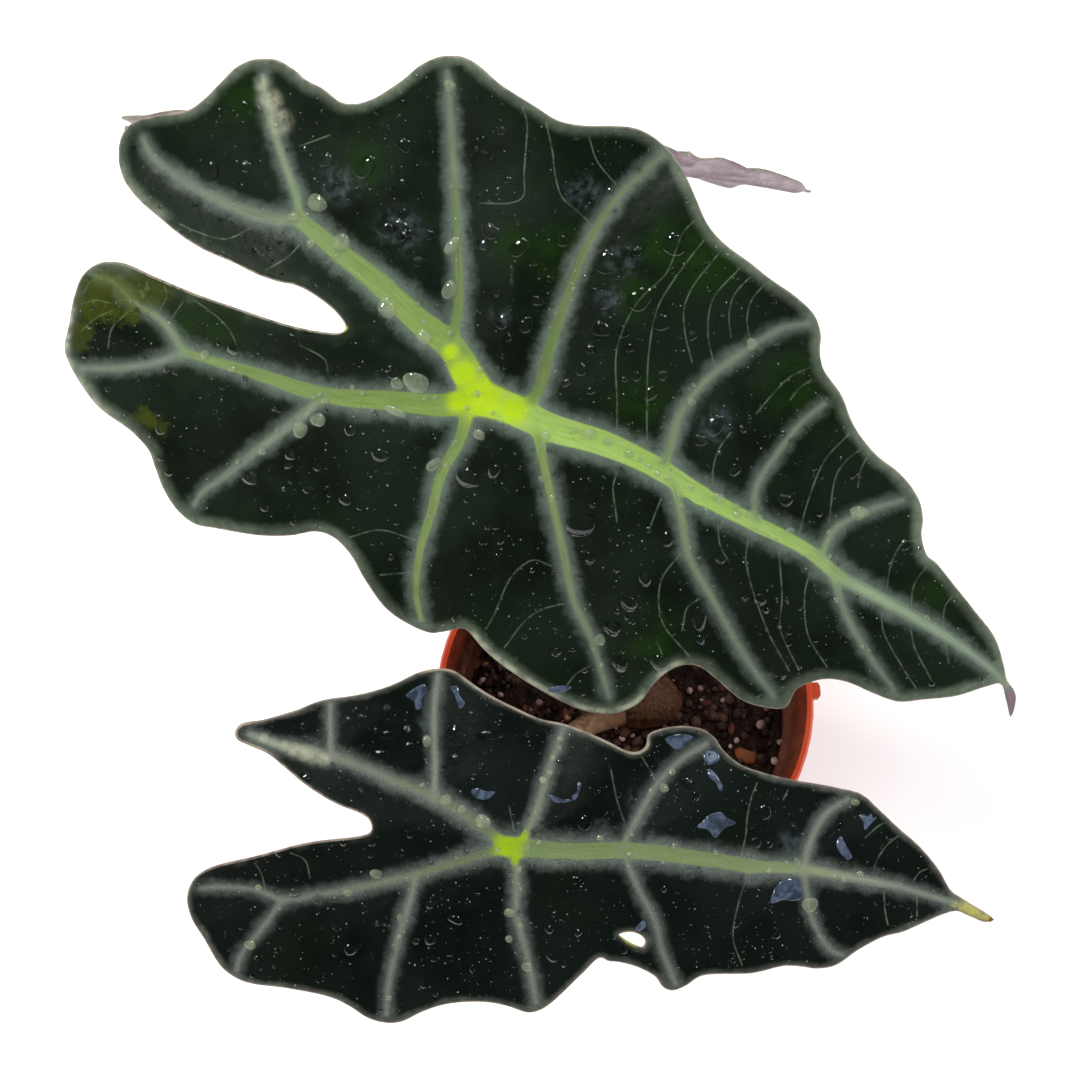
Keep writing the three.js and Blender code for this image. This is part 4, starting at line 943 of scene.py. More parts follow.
def soil_height(x, y):
    ripple = 0.7 * np.sin(x * 0.21 + 1.3) * np.cos(y * 0.17) + 0.5 * np.sin(x * 0.43 - y * 0.31)
    gap = np.hypot(x - CORM_CENTRE[0], y - CORM_CENTRE[1])
    return SOIL_LEVEL + SOIL_SLOPE * x + ripple + MOUND_HEIGHT * fade(gap, MOUND_REACH)


def soil_spots(marked):
    """Places on the soil that are seen at pixels, each with its size."""
    spots = []
    for x, y, size in read(marked):
        eye_ray = sight([(x, y)], [1.0])[0] - EYE
        place = EYE + eye_ray * (SOIL_LEVEL + MOUND_HEIGHT - EYE[2]) / eye_ray[2]
        spots.append((place[0], place[1], size))
    return spots


def wall_radius(z):
    """Radius of the soil against the pot's wall."""
    return POT_FOOT_RADIUS + (WALL_TOP_RADIUS - POT_FOOT_RADIUS) * z / COLLAR_BOTTOM - POT_WALL - SEAT_GAP


def build_soil(material):
    """Bed of potting mix: a crumbly surface on a plain body that fills the pot."""
    way = circle(SOIL_SIDES)[1]
    edge = wall_radius(SOIL_LEVEL)
    rings = []
    for ring in range(1, SOIL_RINGS + 1):
        flat = edge * (ring / SOIL_RINGS) * way
        z = soil_height(flat[:, 0], flat[:, 1]) + relief(flat, SOIL_CRUMBLING)
        rings.append(at_height(flat, np.minimum(z, SOIL_HIGHEST)))
    rings[-1][:, :2] *= (wall_radius(rings[-1][:, 2]) / edge)[:, None]
    rings += [at_height(wall_radius(z) * way, z) for z in (SOIL_WAIST, SOIL_BOTTOM)]
    top = (0.0, 0.0, soil_height(0.0, 0.0))
    points, faces = closed_form(rings, top, (0.0, 0.0, SOIL_BOTTOM), flipped=True)
    return new_object("soil_bed", points, faces, [material])


def ball(subdivisions):
    """Points and faces of a small round lump."""
    lump = bmesh.new()
    bmesh.ops.create_icosphere(lump, subdivisions=subdivisions, radius=1.0)
    points = np.array([vert.co[:] for vert in lump.verts])
    faces = [[vert.index for vert in face.verts] for face in lump.faces]
    lump.free()
    return points, faces


def on_corm(x, y):
    away = ((x - CORM_CENTRE[0]) / CORM_HALVES[0], (y - CORM_CENTRE[1]) / CORM_HALVES[1])
    return math.hypot(*away) < CORM_EDGE


def scatter_lumps(name, kind, material, spots=()):
    """Grains lying on the soil, each its own shape, with a shade of its own."""
    count, seed, sizes, flatness, length, unevenness, fineness = kind
    points, faces = ball(fineness)
    random = np.random.default_rng(seed)
    lumps, shades = [], []
    for index in range(count):
        if index < len(spots):
            x, y, size = spots[index]
        else:
            size = sizes[0] + (sizes[1] - sizes[0]) * random.random() ** GRAIN_SIZE_POWER
            room = wall_radius(SOIL_LEVEL) - GRAIN_TO_WALL * size * length
            reach = room * math.sqrt(random.random())
            turn = random.random() * 2 * math.pi
            x, y = reach * math.cos(turn), reach * math.sin(turn)
        if on_corm(x, y):
            continue
        bumps = rough(points + index * NEXT_GRAIN, GRAIN_BUMP_SIZE, seed)[:, None]
        bumpy = points * (1 + unevenness * bumps) * (length, 1.0, flatness) * size
        spin = Matrix.Rotation(random.random() * GRAIN_SPIN, 3, "Z")
        tilt = Matrix.Rotation(random.normal() * GRAIN_TILT, 3, "X")
        z = soil_height(x, y) + GRAIN_RISE * size * flatness + GRAIN_LIFT
        lumps.append((bumpy @ np.array(spin @ tilt).T + (x, y, z), faces))
        shades.append(np.full(len(points), random.random()))
    return new_object(name, *joined(lumps), [material], None, {"shade": np.concatenate(shades)})


def build_corm(material):
    """Stump of the plant: rings of old leaf bases round a rounded head."""
    angle, way = circle(CORM_SIDES)
    heights, widths = zip(*CORM_SHAPE)
    rings = []
    for share in 1 - (1 - np.linspace(0, 1, CORM_RINGS)) ** CORM_RING_POWER * CORM_RING_SPREAD:
        width = np.interp(share, heights, widths)
        level = np.interp(share, heights, range(len(heights)))
        lumpy = sum((depth * np.sin(lobes * angle + turn * level) for depth, lobes, turn in CORM_LOBES), 1)
        step = SCAR_STEP * ((share * CORM_SCARS + 0.12 * np.sin(2 * angle)) % 1)
        fibre = FIBRE_DEPTH * np.sin(angle * CORM_FIBRES + 3 * np.sin(share * CORM_SCARS))
        around = (width * (lumpy - step + fibre))[:, None] * way * CORM_HALVES
        rings.append(at_height(CORM_CENTRE + around, CORM_BOTTOM + share * (CORM_TOP - CORM_BOTTOM)))
    points, faces = closed_form(rings, (*CORM_CENTRE, CORM_BOTTOM), (*CORM_CENTRE, CORM_TOP))
    return new_object("corm_body", points, faces, [material])


def smoothed_pot(material):
    """The pot as it is in the frame, with its round walls shaded smooth and its edges crisp."""
    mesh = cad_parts["pot"].data.copy()
    shape = bmesh.new()
    shape.from_mesh(mesh)
    bmesh.ops.remove_doubles(shape, verts=shape.verts, dist=1e-6)
    for edge in shape.edges:
        edge.smooth = len(edge.link_faces) == 2 and edge.calc_face_angle() < POT_CREASE
    for face in shape.faces:
        face.smooth = True
    shape.to_mesh(mesh)
    shape.free()
    mesh.materials.clear()
    mesh.materials.append(material)
    return put("pot_shell", mesh)


def tone(red, green, blue):
    """Shader colour for a colour as it looks under these lamps on a screen, each part from 0 to 255."""
    parts = (part / 255 for part in (red, green, blue))
    linear = (part / 12.92 if part <= 0.04045 else ((part + 0.055) / 1.055) ** 2.4 for part in parts)
    return (*(part / LIGHT_LEVEL for part in linear), 1.0)


def tones(**colours):
    return {name: tone(*colour) for name, colour in colours.items()}


class Nodes:
    """A node tree and short ways to add to it."""

    def __init__(self, tree):
        self.tree = tree

    def feed(self, socket, value):
        if isinstance(value, bpy.types.NodeSocket):
            self.tree.links.new(value, socket)
        else:
            socket.default_value = value

    def add(self, kind, feeds=(), **settings):
        node = self.tree.nodes.new("ShaderNode" + kind)
        for key, value in settings.items():
            setattr(node, key, value)
        for key, value in dict(feeds).items():
            self.feed(node.inputs[key], value)
        return node

    def vector(self, x, y, z=0.0):
        return self.add("CombineXYZ", {"X": x, "Y": y, "Z": z}).outputs[0]

    def parts(self, vector):
        return self.add("SeparateXYZ", {0: vector}).outputs

    def band(self, value, low, high, start=0.0, end=1.0, step="SMOOTHSTEP"):
        """start up to low, end from high on, and a step between."""
        feeds = {"Value": value, "From Min": low, "From Max": high, "To Min": start, "To Max": end}
        return self.add("MapRange", feeds, interpolation_type=step).outputs["Result"]


class Paint(Nodes):
    """A procedural material, whose colour starts as a ground on which others are laid.

    A share is a number, a socket, the name of a fact that the mesh holds, or a band: the share it follows,
    where it starts and ends, and its strength at both.
    """

    def __init__(self, name, **settings):
        self.material = bpy.data.materials.new(name)
        self.material.use_nodes = True
        super().__init__(self.material.node_tree)
        self.shader = self.tree.nodes["Principled BSDF"]
        self.place = self.add("TexCoord").outputs["Object"]
        for key, value in settings.items():
            self.shader.inputs[key.replace("_", " ")].default_value = value

    def share(self, given):
        if isinstance(given, str):
            return self.add("Attribute", attribute_name=given).outputs["Fac"]
        if isinstance(given, tuple):
            return self.band(self.share(given[0]), *given[1:])
        return given

    def math(self, operation, a, b=0.0, clamp=False):
        feeds = {0: self.share(a), 1: self.share(b)}
        return self.add("Math", feeds, operation=operation, use_clamp=clamp).outputs[0]

    def plus(self, first, *others):
        for other in others:
            first = self.math("ADD", first, other)
        return first

    def times(self, first, *others):
        for other in others:
            first = self.math("MULTIPLY", first, other)
        return first

    def most(self, a, b):
        return self.math("MAXIMUM", a, b)

    def sway(self, noise, width):
        """A noise that swings by that width about zero."""
        return self.times(self.math("SUBTRACT", noise, 0.5), width)

    def mix(self, share, a, b, blend="MIX"):
        node = self.add("Mix", data_type="RGBA", blend_type=blend)
        for index, value in ((0, self.share(share)), (6, a), (7, b)):
            self.feed(node.inputs[index], value)
        return node.outputs[2]

    def noise(self, scale, detail=3.0, roughness=0.5, distortion=0.0, place=None):
        feeds = {"Vector": place or self.place, "Scale": scale, "Detail": detail, "Roughness": roughness,
                 "Distortion": distortion}
        return self.add("TexNoise", feeds).outputs["Fac"]

    def cells(self, scale, feature="F1"):
        feeds = {"Vector": self.place, "Scale": scale}
        return self.add("TexVoronoi", feeds, feature=feature).outputs["Distance"]

    def stretched(self, across, up):
        """Places for a noise that is drawn out along the height."""
        x, y, z = self.parts(self.place)
        return self.vector(self.times(x, across), self.times(y, across), self.times(z, up))

    def bump(self, height, strength, distance, after=None):
        node = self.add("Bump", {"Height": height, "Strength": strength, "Distance": distance})
        if after is not None:
            self.feed(node.inputs["Normal"], after)
        return node.outputs["Normal"]

    def ground(self, share, dark, pale):
        self.colour = self.mix(share, dark, pale)

    def lay(self, colour, *shares):
        """Lays a colour on, as strongly as its shares say when multiplied."""
        self.colour = self.mix(self.times(*shares), self.colour, colour)

    def finish(self, roughness=None, skin=None):
        self.feed(self.shader.inputs["Base Color"], self.colour)
        if roughness is not None:
            self.feed(self.shader.inputs["Roughness"], self.share(roughness))
        if skin is not None:
            self.feed(self.shader.inputs["Normal"], skin)
        return self.material


# The sky tone is a painted reflection, and the beige and pale rim tones are painted light on lit stretches;
# the rest are the skin's own colours.
LARGE_LOOKS = {
    "gloss": 0.13, "core_strength": 0.95, "rim_strength": 0.8,
    "rim_reach": (0.3, 3.6), "line_reach": (0.12, 0.42), "lit_reach": 1.9,
    **tones(
        lamina=(13, 21, 15), lamina_pale=(26, 37, 30), lamina_green=(18, 36, 15), grassy=(28, 54, 8),
        lime=(58, 68, 14), lime_pale=(120, 134, 62), sky=(72, 84, 88), vein=(112, 130, 106),
        halo=(92, 108, 98), halo_pale=(130, 144, 132), core_grey=(140, 155, 142), core_olive=(138, 162, 110),
        core_green=(154, 190, 84), core_pale=(184, 206, 144), core_dark=(112, 148, 70), groove=(56, 84, 30),
        glow=(178, 212, 12), beige=(172, 174, 150), rim=(128, 142, 122), rim_line=(170, 156, 140),
        pale_rim=(196, 204, 178), dusky=(136, 118, 124), dry=(164, 168, 60)),
}
SMALL_LOOKS = {
    **LARGE_LOOKS,
    "gloss": 0.1, "core_strength": 0.8, "rim_strength": 0.75,
    "rim_reach": (0.1, 2.0), "line_reach": (0.14, 0.5), "lit_reach": 0.85,
    **tones(
        lamina=(9, 14, 13), lamina_pale=(21, 28, 27), lamina_green=(14, 24, 16), grassy=(14, 24, 14),
        lime=(190, 182, 84), lime_pale=(214, 206, 120), halo=(74, 84, 78), halo_pale=(136, 144, 138),
        core_grey=(154, 162, 150), core_olive=(134, 148, 106), core_green=(118, 142, 74),
        core_pale=(156, 168, 132), groove=(52, 66, 36), glow=(152, 188, 8), rim=(112, 114, 106),
        rim_line=(158, 144, 130), pale_rim=(204, 190, 168), dusky=(140, 84, 30)),
}


class BladePaint(Paint):
    """Upper skin of a blade: dark leathery green, pale feathered ribs with green cores, a pale rim with
    painted highlights where it is lit, and painted reflections of the sky.

    Its colours may be given by their names in its looks.
    """

    def __init__(self, name, looks):
        super().__init__(name, IOR=1.42, Specular_IOR_Level=looks["gloss"])
        self.looks = looks
        self.broad = self.noise(38)
        self.blotch = self.noise(150, 4.0, 0.6)
        self.patchy = self.noise(420, 3.0, 0.6)
        self.grain = self.noise(2400, 3.0, 0.7)
        drawn_out = self.vector(self.times("along", 0.1), self.times("rib", 2.6))
        self.streak = self.noise(1.0, 3.0, 0.6, place=drawn_out)
        brushed = self.vector(self.times("along", 2.0), self.times("rib", 0.4), self.times(self.blotch, 6.0))
        fibre = self.noise(1.0, 3.0, 0.65, place=brushed)
        self.wander = self.plus(self.sway(fibre, 0.3), self.sway(self.grain, 0.5))
        self.core_edge = self.plus("core", self.times(self.wander, 0.5))
        ragged = self.plus("lime", self.sway(self.patchy, 1.8))
        self.lime = self.times((ragged, 0.1, 0.95, 0.0, 0.92), ("lime", 0.02, 0.25))

    def mix(self, share, a, b, blend="MIX"):
        a, b = (self.looks[colour] if isinstance(colour, str) else colour for colour in (a, b))
        return super().mix(share, a, b, blend)

    def lay_lamina(self):
        """Dark skin between the ribs, with greener and lime patches, and painted reflections of the sky."""
        self.ground((self.broad, 0.35, 0.65), "lamina", "lamina_pale")
        self.lay("lamina_green", (self.blotch, 0.42, 0.75, 0.0, 0.55))
        self.lay("lamina_green", (self.streak, 0.45, 0.7, 0.0, 0.5))
        self.lay("lamina_green", ("rim", 2.0, 16.0, 0.6, 0.0), self.broad)
        self.lay("grassy", "grassy", (self.blotch, 0.3, 0.6, 0.3, 0.8))
        self.lay("lime", self.lime)
        # painted reflection: bluish sky patches laid into the skin's colour
        self.lay("sky", ("sky", 0.15, 0.9), (self.patchy, 0.38, 0.7, 0.0, 0.75))

    def lay_veins(self):
        self.fine = self.times(("fine", 0.0, 0.36, 0.6, 0.0), (self.patchy, 0.34, 0.62, 0.25, 1.0))
        self.lay("vein", self.fine)

    def lay_halos(self):
        """Grey bands along the ribs, feathered into the dark skin."""
        feathered = self.plus("halo", self.wander, self.sway(self.blotch, 1.0), self.sway(self.patchy, 0.8))
        patches = (self.patchy, 0.3, 0.7, 0.8, 1.0)
        self.halo = self.times((feathered, -0.28, 1.0, 1.0, 0.0), "strength", patches)
        self.lay(self.mix((self.grain, 0.3, 0.7), "halo", "halo_pale"), self.halo)

    def core_colour(self):
        """Green of a rib's middle, greyer on thin ribs, streaked along them."""
        colour = self.mix(("green", 0.0, 0.5), "core_grey", "core_olive")
        colour = self.mix(("green", 0.4, 1.0), colour, "core_green")
        colour = self.mix((self.streak, 0.35, 0.7, 0.0, 0.4), colour, "core_pale")
        colour = self.mix((self.streak, 0.3, 0.45, 0.35, 0.0), colour, "core_dark")
        return self.mix(1.0, colour, self.share("light"), "MULTIPLY")

    def lay_cores(self):
        """Cores of the ribs, soft-edged where they are grey, and the dark grooves beside them."""
        soft = self.share(("green", 0.0, 0.8, 0.9, 0.18))
        within = self.math("DIVIDE", self.math("SUBTRACT", soft, self.core_edge), self.times(soft, 2.0), True)
        self.core = self.times(within, "strength", self.looks["core_strength"])
        self.lay(self.core_colour(), self.core)
        beside = self.math("ABSOLUTE", self.core_edge)
        stretches = (self.noise(70, 2.0), 0.48, 0.6, 0.0, 0.55)
        self.lay("groove", (beside, 0.0, 0.22, 1.0, 0.0), "green", stretches)

    def lay_patches(self):
        """Lime lobe with its paler ribs, beige streaks painted as lit patches, and the glow where the ribs
        meet.
        """
        raised = self.most(self.fine, self.most(self.times(self.halo, 0.55), self.core))
        self.lay(self.mix(raised, "lime", "lime_pale"), self.lime, 0.9)
        # painted light: beige where the rib ends are lit
        self.lay("beige", ("beige", 0.2, 0.95), (self.patchy, 0.3, 0.7, 0.25, 0.85))
        self.lay("glow", ("glow", 0.1, 0.85), (self.core_edge, -0.2, 0.8, 1.0, 0.0),
                 (self.streak, 0.3, 0.7, 1.0, 0.75))

    def lay_rim(self):
        """Pale margin with fine lines in it, painted highlights on its brightly lit stretches, its outermost
        line and its ends.
        """
        looks = self.looks
        wavy = self.plus("rim", self.sway(self.blotch, 2.6))
        lines = self.math("FRACT", self.times("rim", 1.3))
        self.lay("rim", (wavy, *looks["rim_reach"], looks["rim_strength"], 0.0),
                 (self.broad, 0.35, 0.65, 0.55, 1.0), (self.patchy, 0.3, 0.65, 0.7, 1.0),
                 ("plain", 0.2, 0.7, 1.0, 0.12), (self.lime, 0.1, 0.7, 1.0, 0.35),
                 (lines, 0.0, 0.5, 0.86, 1.0))
        # painted highlight: stretches of the rim where it is lit
        self.lay("pale_rim", ("pale_rim", 0.2, 0.8), ("rim", 0.2, looks["lit_reach"], 0.85, 0.0),
                 (self.patchy, 0.32, 0.6, 0.45, 1.0))
        self.lay("rim_line", ("rim", *looks["line_reach"], 0.85, 0.0), (self.patchy, 0.35, 0.6, 0.4, 1.0))
        self.lay("dusky", ("dusky", 0.2, 0.7))
        self.lay("dry", ("dry", 0.2, 0.8), ("rim", 0.1, 0.9, 0.9, 0.0))


def blade_top(name, looks):
    paint = BladePaint(name, looks)
    paint.lay_lamina()
    paint.lay_veins()
    paint.lay_halos()
    paint.lay_cores()
    paint.lay_patches()
    paint.lay_rim()
    leathery = paint.bump(paint.cells(620), 0.10, 0.0004)
    leathery = paint.bump(paint.noise(260, 4.0, 0.6), 0.2, 0.0009, leathery)
    return paint.finish((paint.blotch, 0.3, 0.75, 0.36, 0.55), leathery)


def blade_underside(name, dark, pale, rib):
    """Purple-pink skin with paler, raised ribs and a fine net."""
    paint = Paint(name, IOR=1.42, Specular_IOR_Level=0.35)
    blotch = paint.noise(170, 4.0, 0.6)
    paint.ground((blotch, 0.3, 0.7), dark, pale)
    paint.lay(rib, (paint.cells(300, "DISTANCE_TO_EDGE"), 0.0, 0.12, 0.35, 0.0))
    paint.lay(rib, ("fine", 0.1, 0.6, 0.5, 0.0))
    paint.lay(rib, ("ridge", 0.15, 0.9, 0.0, 0.85))
    paint.lay(tone(176, 150, 156), ("rim", 0.3, 2.4, 0.7, 0.0))
    return paint.finish((blotch, 0.3, 0.7, 0.42, 0.6), paint.bump(paint.noise(420, 4.0, 0.6), 0.25, 0.0007))


def stalk_skin(name, pale, dark, foot):
    """Mottled skin with stripes along it, turning to another colour at its foot."""
    paint = Paint(name, IOR=1.45, Specular_IOR_Level=0.4)
    mottle = paint.noise(420, 4.0, 0.65, 0.6, paint.stretched(1.0, 0.35))
    stripe = paint.noise(700, 2.0, place=paint.stretched(1.5, 0.04))
    paint.ground((mottle, 0.45, 0.62), pale, dark)
    paint.lay(dark, (stripe, 0.5, 0.7, 0.0, 0.45))
    paint.lay(foot, ("reach", 0.06, 0.34, 0.9, 0.0))
    return paint.finish((mottle, 0.3, 0.7, 0.34, 0.55), paint.bump(stripe, 0.3, 0.0006))


def earth(name, dark, pale):
    paint = Paint(name, Specular_IOR_Level=0.25)
    coarse = paint.noise(240, 5.0, 0.7)
    fine = paint.noise(1500, 4.0, 0.7)
    paint.ground((coarse, 0.35, 0.68), dark, pale)
    paint.lay(tone(22, 13, 10), (fine, 0.5, 0.75, 0.0, 0.6))
    skin = paint.bump(fine, 0.8, 0.0006, paint.bump(coarse, 0.7, 0.0015))
    return paint.finish((coarse, 0.3, 0.7, 0.75, 0.97), skin)


def grain_skin(name, dark, pale, roughness, scale=900):
    """Lumps that each have a shade of their own between two colours."""
    paint = Paint(name, Specular_IOR_Level=0.3)
    fine = paint.noise(scale, 4.0, 0.7)
    paint.ground("shade", dark, pale)
    paint.lay(dark, (fine, 0.5, 0.8, 0.0, 0.55))
    return paint.finish((fine, 0.3, 0.7, roughness, roughness + 0.15), paint.bump(fine, 0.7, 0.0005))


def corm_skin(name):
    """Brown fibrous skin, rusty where it goes into the soil."""
    paint = Paint(name, IOR=1.45, Specular_IOR_Level=0.35)
    fibre = paint.noise(900, 4.0, 0.65, place=paint.stretched(1.0, 0.12))
    paint.ground((fibre, 0.35, 0.65), tone(58, 36, 24), tone(104, 70, 48))
    paint.lay(tone(84, 60, 44), (paint.noise(120), 0.45, 0.7, 0.0, 0.7))
    paint.lay(tone(150, 84, 40), (paint.parts(paint.place)["Z"], 0.080, 0.0855, 0.55, 0.0))
    return paint.finish((fibre, 0.3, 0.7, 0.45, 0.7), paint.bump(fibre, 0.5, 0.0008))


def pot_plastic(name):
    """Moulded orange plastic, thinly marked by water, muddied with potting mix inside, and painted darker
    inside as shade, most on the left.
    """
    paint = Paint(name, IOR=1.46, Specular_IOR_Level=0.45)
    x, y, z = paint.parts(paint.place)
    across, along, up = paint.parts(paint.add("NewGeometry").outputs["Normal"])
    inward = paint.plus(paint.times(across, x), paint.times(along, y))
    ledge = paint.times((up, 0.3, 0.6), (z, 0.100, 0.102, 1.0, 0.0))
    inner = paint.most((inward, -0.02, 0.0, 1.0, 0.0), ledge)
    cloud = paint.noise(60, 4.0, 0.6)
    speck = paint.noise(900, 3.0, 0.6)
    run = paint.noise(320, 4.0, 0.65, place=paint.stretched(1.0, 0.18))
    paint.ground((cloud, 0.3, 0.7), tone(214, 74, 32), tone(228, 88, 42))
    paint.lay(tone(170, 58, 28), (speck, 0.55, 0.8, 0.0, 0.18))
    paint.lay(tone(196, 150, 124), (run, 0.52, 0.78), (z, 0.0, 0.03, 0.5, 0.12))
    # painted light and shade with mud: the inner colour runs from dark on the left to lighter on the right,
    # and drying mud streaks it
    dried_and_lit = paint.plus((x, -0.05, 0.05, 0.0, 0.6), (run, 0.35, 0.7, 0.0, 0.4))
    level = paint.plus(z, paint.sway(run, 0.030))
    # painted shade and mud: the inside of the wall is darkened below the lip
    paint.lay(paint.mix(dried_and_lit, tone(48, 20, 12), tone(122, 70, 52)), inner, (level, 0.086, 0.108, 0.98, 0.72))
    crumb = paint.mix((cloud, 0.4, 0.6), tone(40, 22, 16), tone(132, 100, 82))
    paint.lay(crumb, inner, (speck, 0.54, 0.62, 0.0, 0.75))
    return paint.finish((cloud, 0.3, 0.7, 0.34, 0.48), paint.bump(paint.noise(1600, 2.0), 0.12, 0.0002))


def clear_water(name):
    paint = Paint(name, IOR=1.333, Transmission_Weight=1.0, Roughness=0.02, Coat_Weight=1.0, Coat_IOR=1.42,
                  Coat_Roughness=0.01)
    paint.ground((paint.noise(60, 2.0), 0.3, 0.7), (0.94, 0.98, 0.97, 1), (0.98, 1.0, 1.0, 1))
    return paint.finish(skin=paint.bump(paint.noise(400, 1.0), 0.03, 0.0002))


def milky_water_painted_light(name, alpha, dark, pale):
    """Drops that let the skin below show, with a paler colour that is painted light: reflected sky on the
    pale drops, glints on the specks.
    """
    paint = Paint(name, IOR=1.333, Roughness=0.12, Alpha=alpha, Coat_Weight=1.0, Coat_IOR=1.9,
                  Coat_Roughness=0.01)
    paint.ground((paint.noise(500), 0.35, 0.65), dark, pale)
    return paint.finish()


def painted_sky_puddle(name):
    """Flat water whose colour is a painted reflection of the blue sky, in places darker."""
    paint = Paint(name, IOR=1.333, Roughness=0.08, Coat_Weight=1.0, Coat_IOR=1.6, Coat_Roughness=0.01)
    # painted reflection: the blue sky laid in as the water's colour
    paint.ground((paint.noise(330, 3.0, 0.55, 0.8), 0.32, 0.68), tone(52, 62, 78), tone(92, 105, 126))
    paint.lay(tone(26, 34, 46), (paint.noise(700, 2.0), 0.5, 0.8, 0.0, 0.6))
    return paint.finish()


def floor_paint(name):
    paint = Paint(name, Specular_IOR_Level=0.1)
    paint.ground((paint.noise(3.0), 0.3, 0.7), (0.90, 0.90, 0.90, 1), (0.92, 0.92, 0.918, 1))
    return paint.finish((paint.noise(40), 0.3, 0.7, 0.85, 0.95))


def place_leaves(large, small, back):
    large_top = blade_top("leaf_top_large", LARGE_LOOKS)
    small_top = blade_top("leaf_top_small", SMALL_LOOKS)
    below = blade_underside("leaf_underside", tone(92, 62, 78), tone(128, 92, 108), tone(156, 142, 120))
    pink_below = blade_underside("leaf_underside_back", tone(176, 160, 170), tone(222, 210, 218),
                                 tone(164, 140, 156))
    for key, leaf, spacing, skins in (("large", large, LARGE_GRID, (large_top, below)),
                                      ("small", small, SMALL_GRID, (small_top, below)),
                                      ("back", back, BACK_GRID, (large_top, pink_below))):
        place_piece(build_blade(leaf, "leaf_" + key, spacing, skins), "blade", "blade_" + key)


def place_water(large, small):
    water = {
        "drops": clear_water("water_drops"),
        # painted sheen: the pale drops' colour stands for the sky they reflect
        "pale_drops": milky_water_painted_light("water_pale_painted_sheen", 0.32, tone(166, 186, 152), tone(208, 220, 184)),
        # painted glints: the specks are tiny pale dots standing for sun glints
        "painted_glint_specks": milky_water_painted_light("water_specks_painted_glints", 0.62, tone(150, 166, 160), tone(204, 214, 206)),
        "puddles": painted_sky_puddle("water_puddles_painted_sky"),
    }
    wet_leaf("large", large, water, LARGE_DROPS, LARGE_PALE_DROPS, LARGE_PUDDLES, LARGE_SPRAY)
    wet_leaf("small", small, water, SMALL_DROPS, SMALL_PALE_DROPS, SMALL_PUDDLES, SMALL_SPRAY)


def place_stalks(large, small, back):
    """Stalks, each from its socket in the plant base to the rib under its blade."""
    green = stalk_skin("stalk_green", tone(146, 156, 98), tone(92, 84, 62), tone(138, 112, 84))
    pink = stalk_skin("stalk_pink", tone(156, 132, 100), tone(112, 76, 60), tone(104, 70, 54))
    for key, leaf, path, skin, slot in (("large", large, LARGE_STALK, green, "petiole"),
                                        ("small", small, SMALL_STALK, pink, "petiole_foot"),
                                        ("back", back, BACK_STALK, green, "petiole")):
        stalk = build_stalk("stalk_" + key, [*path, stalk_end(leaf)], skin)
        place_piece(stalk, slot, "petiole_" + key)


def place_base():
    """Plant base, soil with its loose grains, and pot."""
    place_piece(build_corm(corm_skin("corm_skin")), "corm", "corm")
    place_piece(build_soil(earth("soil_bed", tone(26, 16, 12), tone(72, 48, 37))), "soil", "soil")
    dark = grain_skin("soil_crumbs", tone(16, 10, 8), tone(98, 72, 56), 0.8)
    pale = grain_skin("pale_grains", tone(150, 112, 98), tone(228, 200, 188), 0.7)
    bark = grain_skin("bark_bits", tone(84, 46, 30), tone(168, 98, 58), 0.65, 500)
    place_piece(scatter_lumps("soil_crumbs", CRUMBS, dark), "soil")
    place_piece(scatter_lumps("pale_grains", PALE_GRAINS, pale, soil_spots(PALE_GRAINS_PX)), "soil")
    place_piece(scatter_lumps("bark_bits", BARK_BITS, bark, soil_spots(BARK_BITS_PX)), "soil")
    place_piece(smoothed_pot(pot_plastic("pot_plastic")), "pot", "pot")


def lay_floor():
    mesh = bpy.data.meshes.new("floor")
    corners = [(x * FLOOR_REACH, y * FLOOR_REACH, 0) for x, y in ((-1, -1), (1, -1), (1, 1), (-1, 1))]
    mesh.from_pydata(corners, [], [(0, 1, 2, 3)])
    mesh.materials.append(floor_paint("floor"))
    floor = put("floor", mesh)
    floor.location.z = -FLOOR_DROP


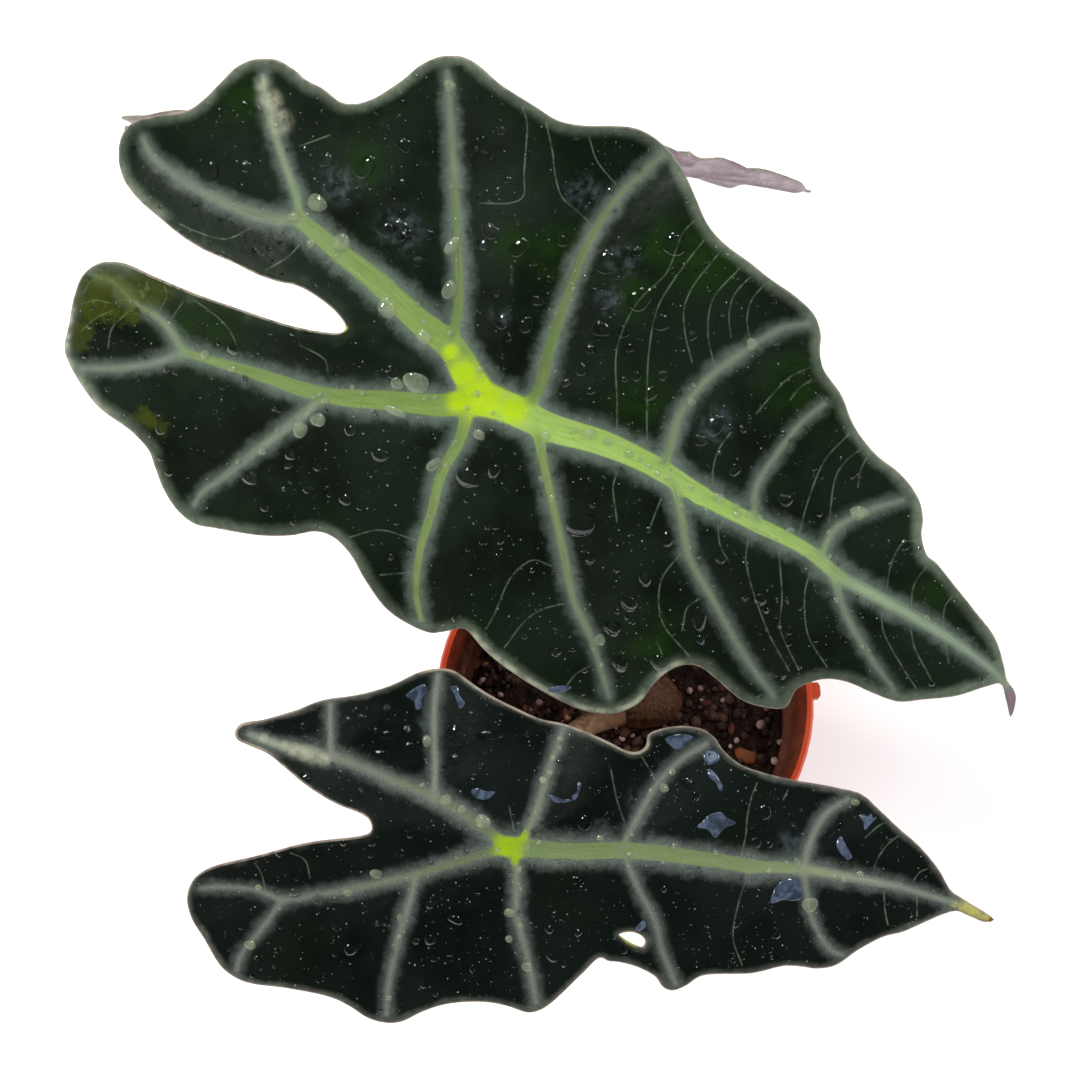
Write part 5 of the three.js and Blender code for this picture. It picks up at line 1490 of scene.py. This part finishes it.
def light_world():
    """White surround, bright low down and darker above, which what shines doesn't mirror."""
    world = bpy.data.worlds.new("studio")
    world.use_nodes = True
    nodes = Nodes(world.node_tree)
    height = nodes.parts(nodes.add("TexCoord").outputs["Generated"])["Z"]
    background = world.node_tree.nodes["Background"].inputs
    nodes.feed(background["Strength"], nodes.band(height, 0.3, 0.75, WORLD_LOW, WORLD_HIGH, "LINEAR"))
    nodes.feed(background["Color"], (1.0, 1.0, 1.0, 1.0))
    world.cycles_visibility.glossy = False
    bpy.context.scene.world = world


def hang_lamps():
    for name, place, size, power, shade, mirrored in LAMPS:
        lamp = bpy.data.lights.new(name, "AREA")
        lamp.shape = "DISK"
        lamp.size = size
        lamp.energy = power
        lamp.color = shade
        holder = put(name, lamp)
        holder.location = place
        holder.visible_glossy = mirrored
        holder.rotation_euler = (LAMP_TARGET - Vector(place)).to_track_quat("-Z", "Y").to_euler()


def aim_camera():
    """Camera at the photograph's viewing angle."""
    lens = bpy.data.cameras.new("camera")
    lens.sensor_width = SENSOR_MM
    lens.lens = SENSOR_MM * VIEW_FOCAL_PX / FRAME_PX
    lens.clip_start = 0.01
    camera = put("camera", lens)
    camera.location = Vector(EYE * MM)
    camera.rotation_euler = (math.pi / 2 - VIEW_SLOPE, 0, 0)
    bpy.context.scene.camera = camera
    bpy.context.scene.view_settings.view_transform = "Standard"


large_leaf = Leaf(LARGE_SEAT_PX, LARGE_TIP_PX, LARGE_DEPTH, LARGE_DROOP,
                  LARGE_MARGIN_PX, [], LARGE_RIBS, LARGE_VEINS, LARGE_SPOTS)
small_leaf = Leaf(SMALL_SEAT_PX, SMALL_TIP_PX, SMALL_DEPTH, SMALL_DROOP,
                  SMALL_MARGIN_PX, [SMALL_TEAR_PX], SMALL_RIBS, SMALL_VEINS, SMALL_SPOTS)
back_leaf = BackLeaf(LARGE_SEAT_PX, LARGE_TIP_PX, LARGE_DEPTH, BACK_DROOP,
                     LARGE_MARGIN_PX, [], LARGE_RIBS, LARGE_VEINS, BACK_SPOTS)
back_leaf.stand()

place_leaves(large_leaf, small_leaf, back_leaf)
place_water(large_leaf, small_leaf)
place_stalks(large_leaf, small_leaf, back_leaf)
place_base()
lay_floor()
light_world()
hang_lamps()
aim_camera()
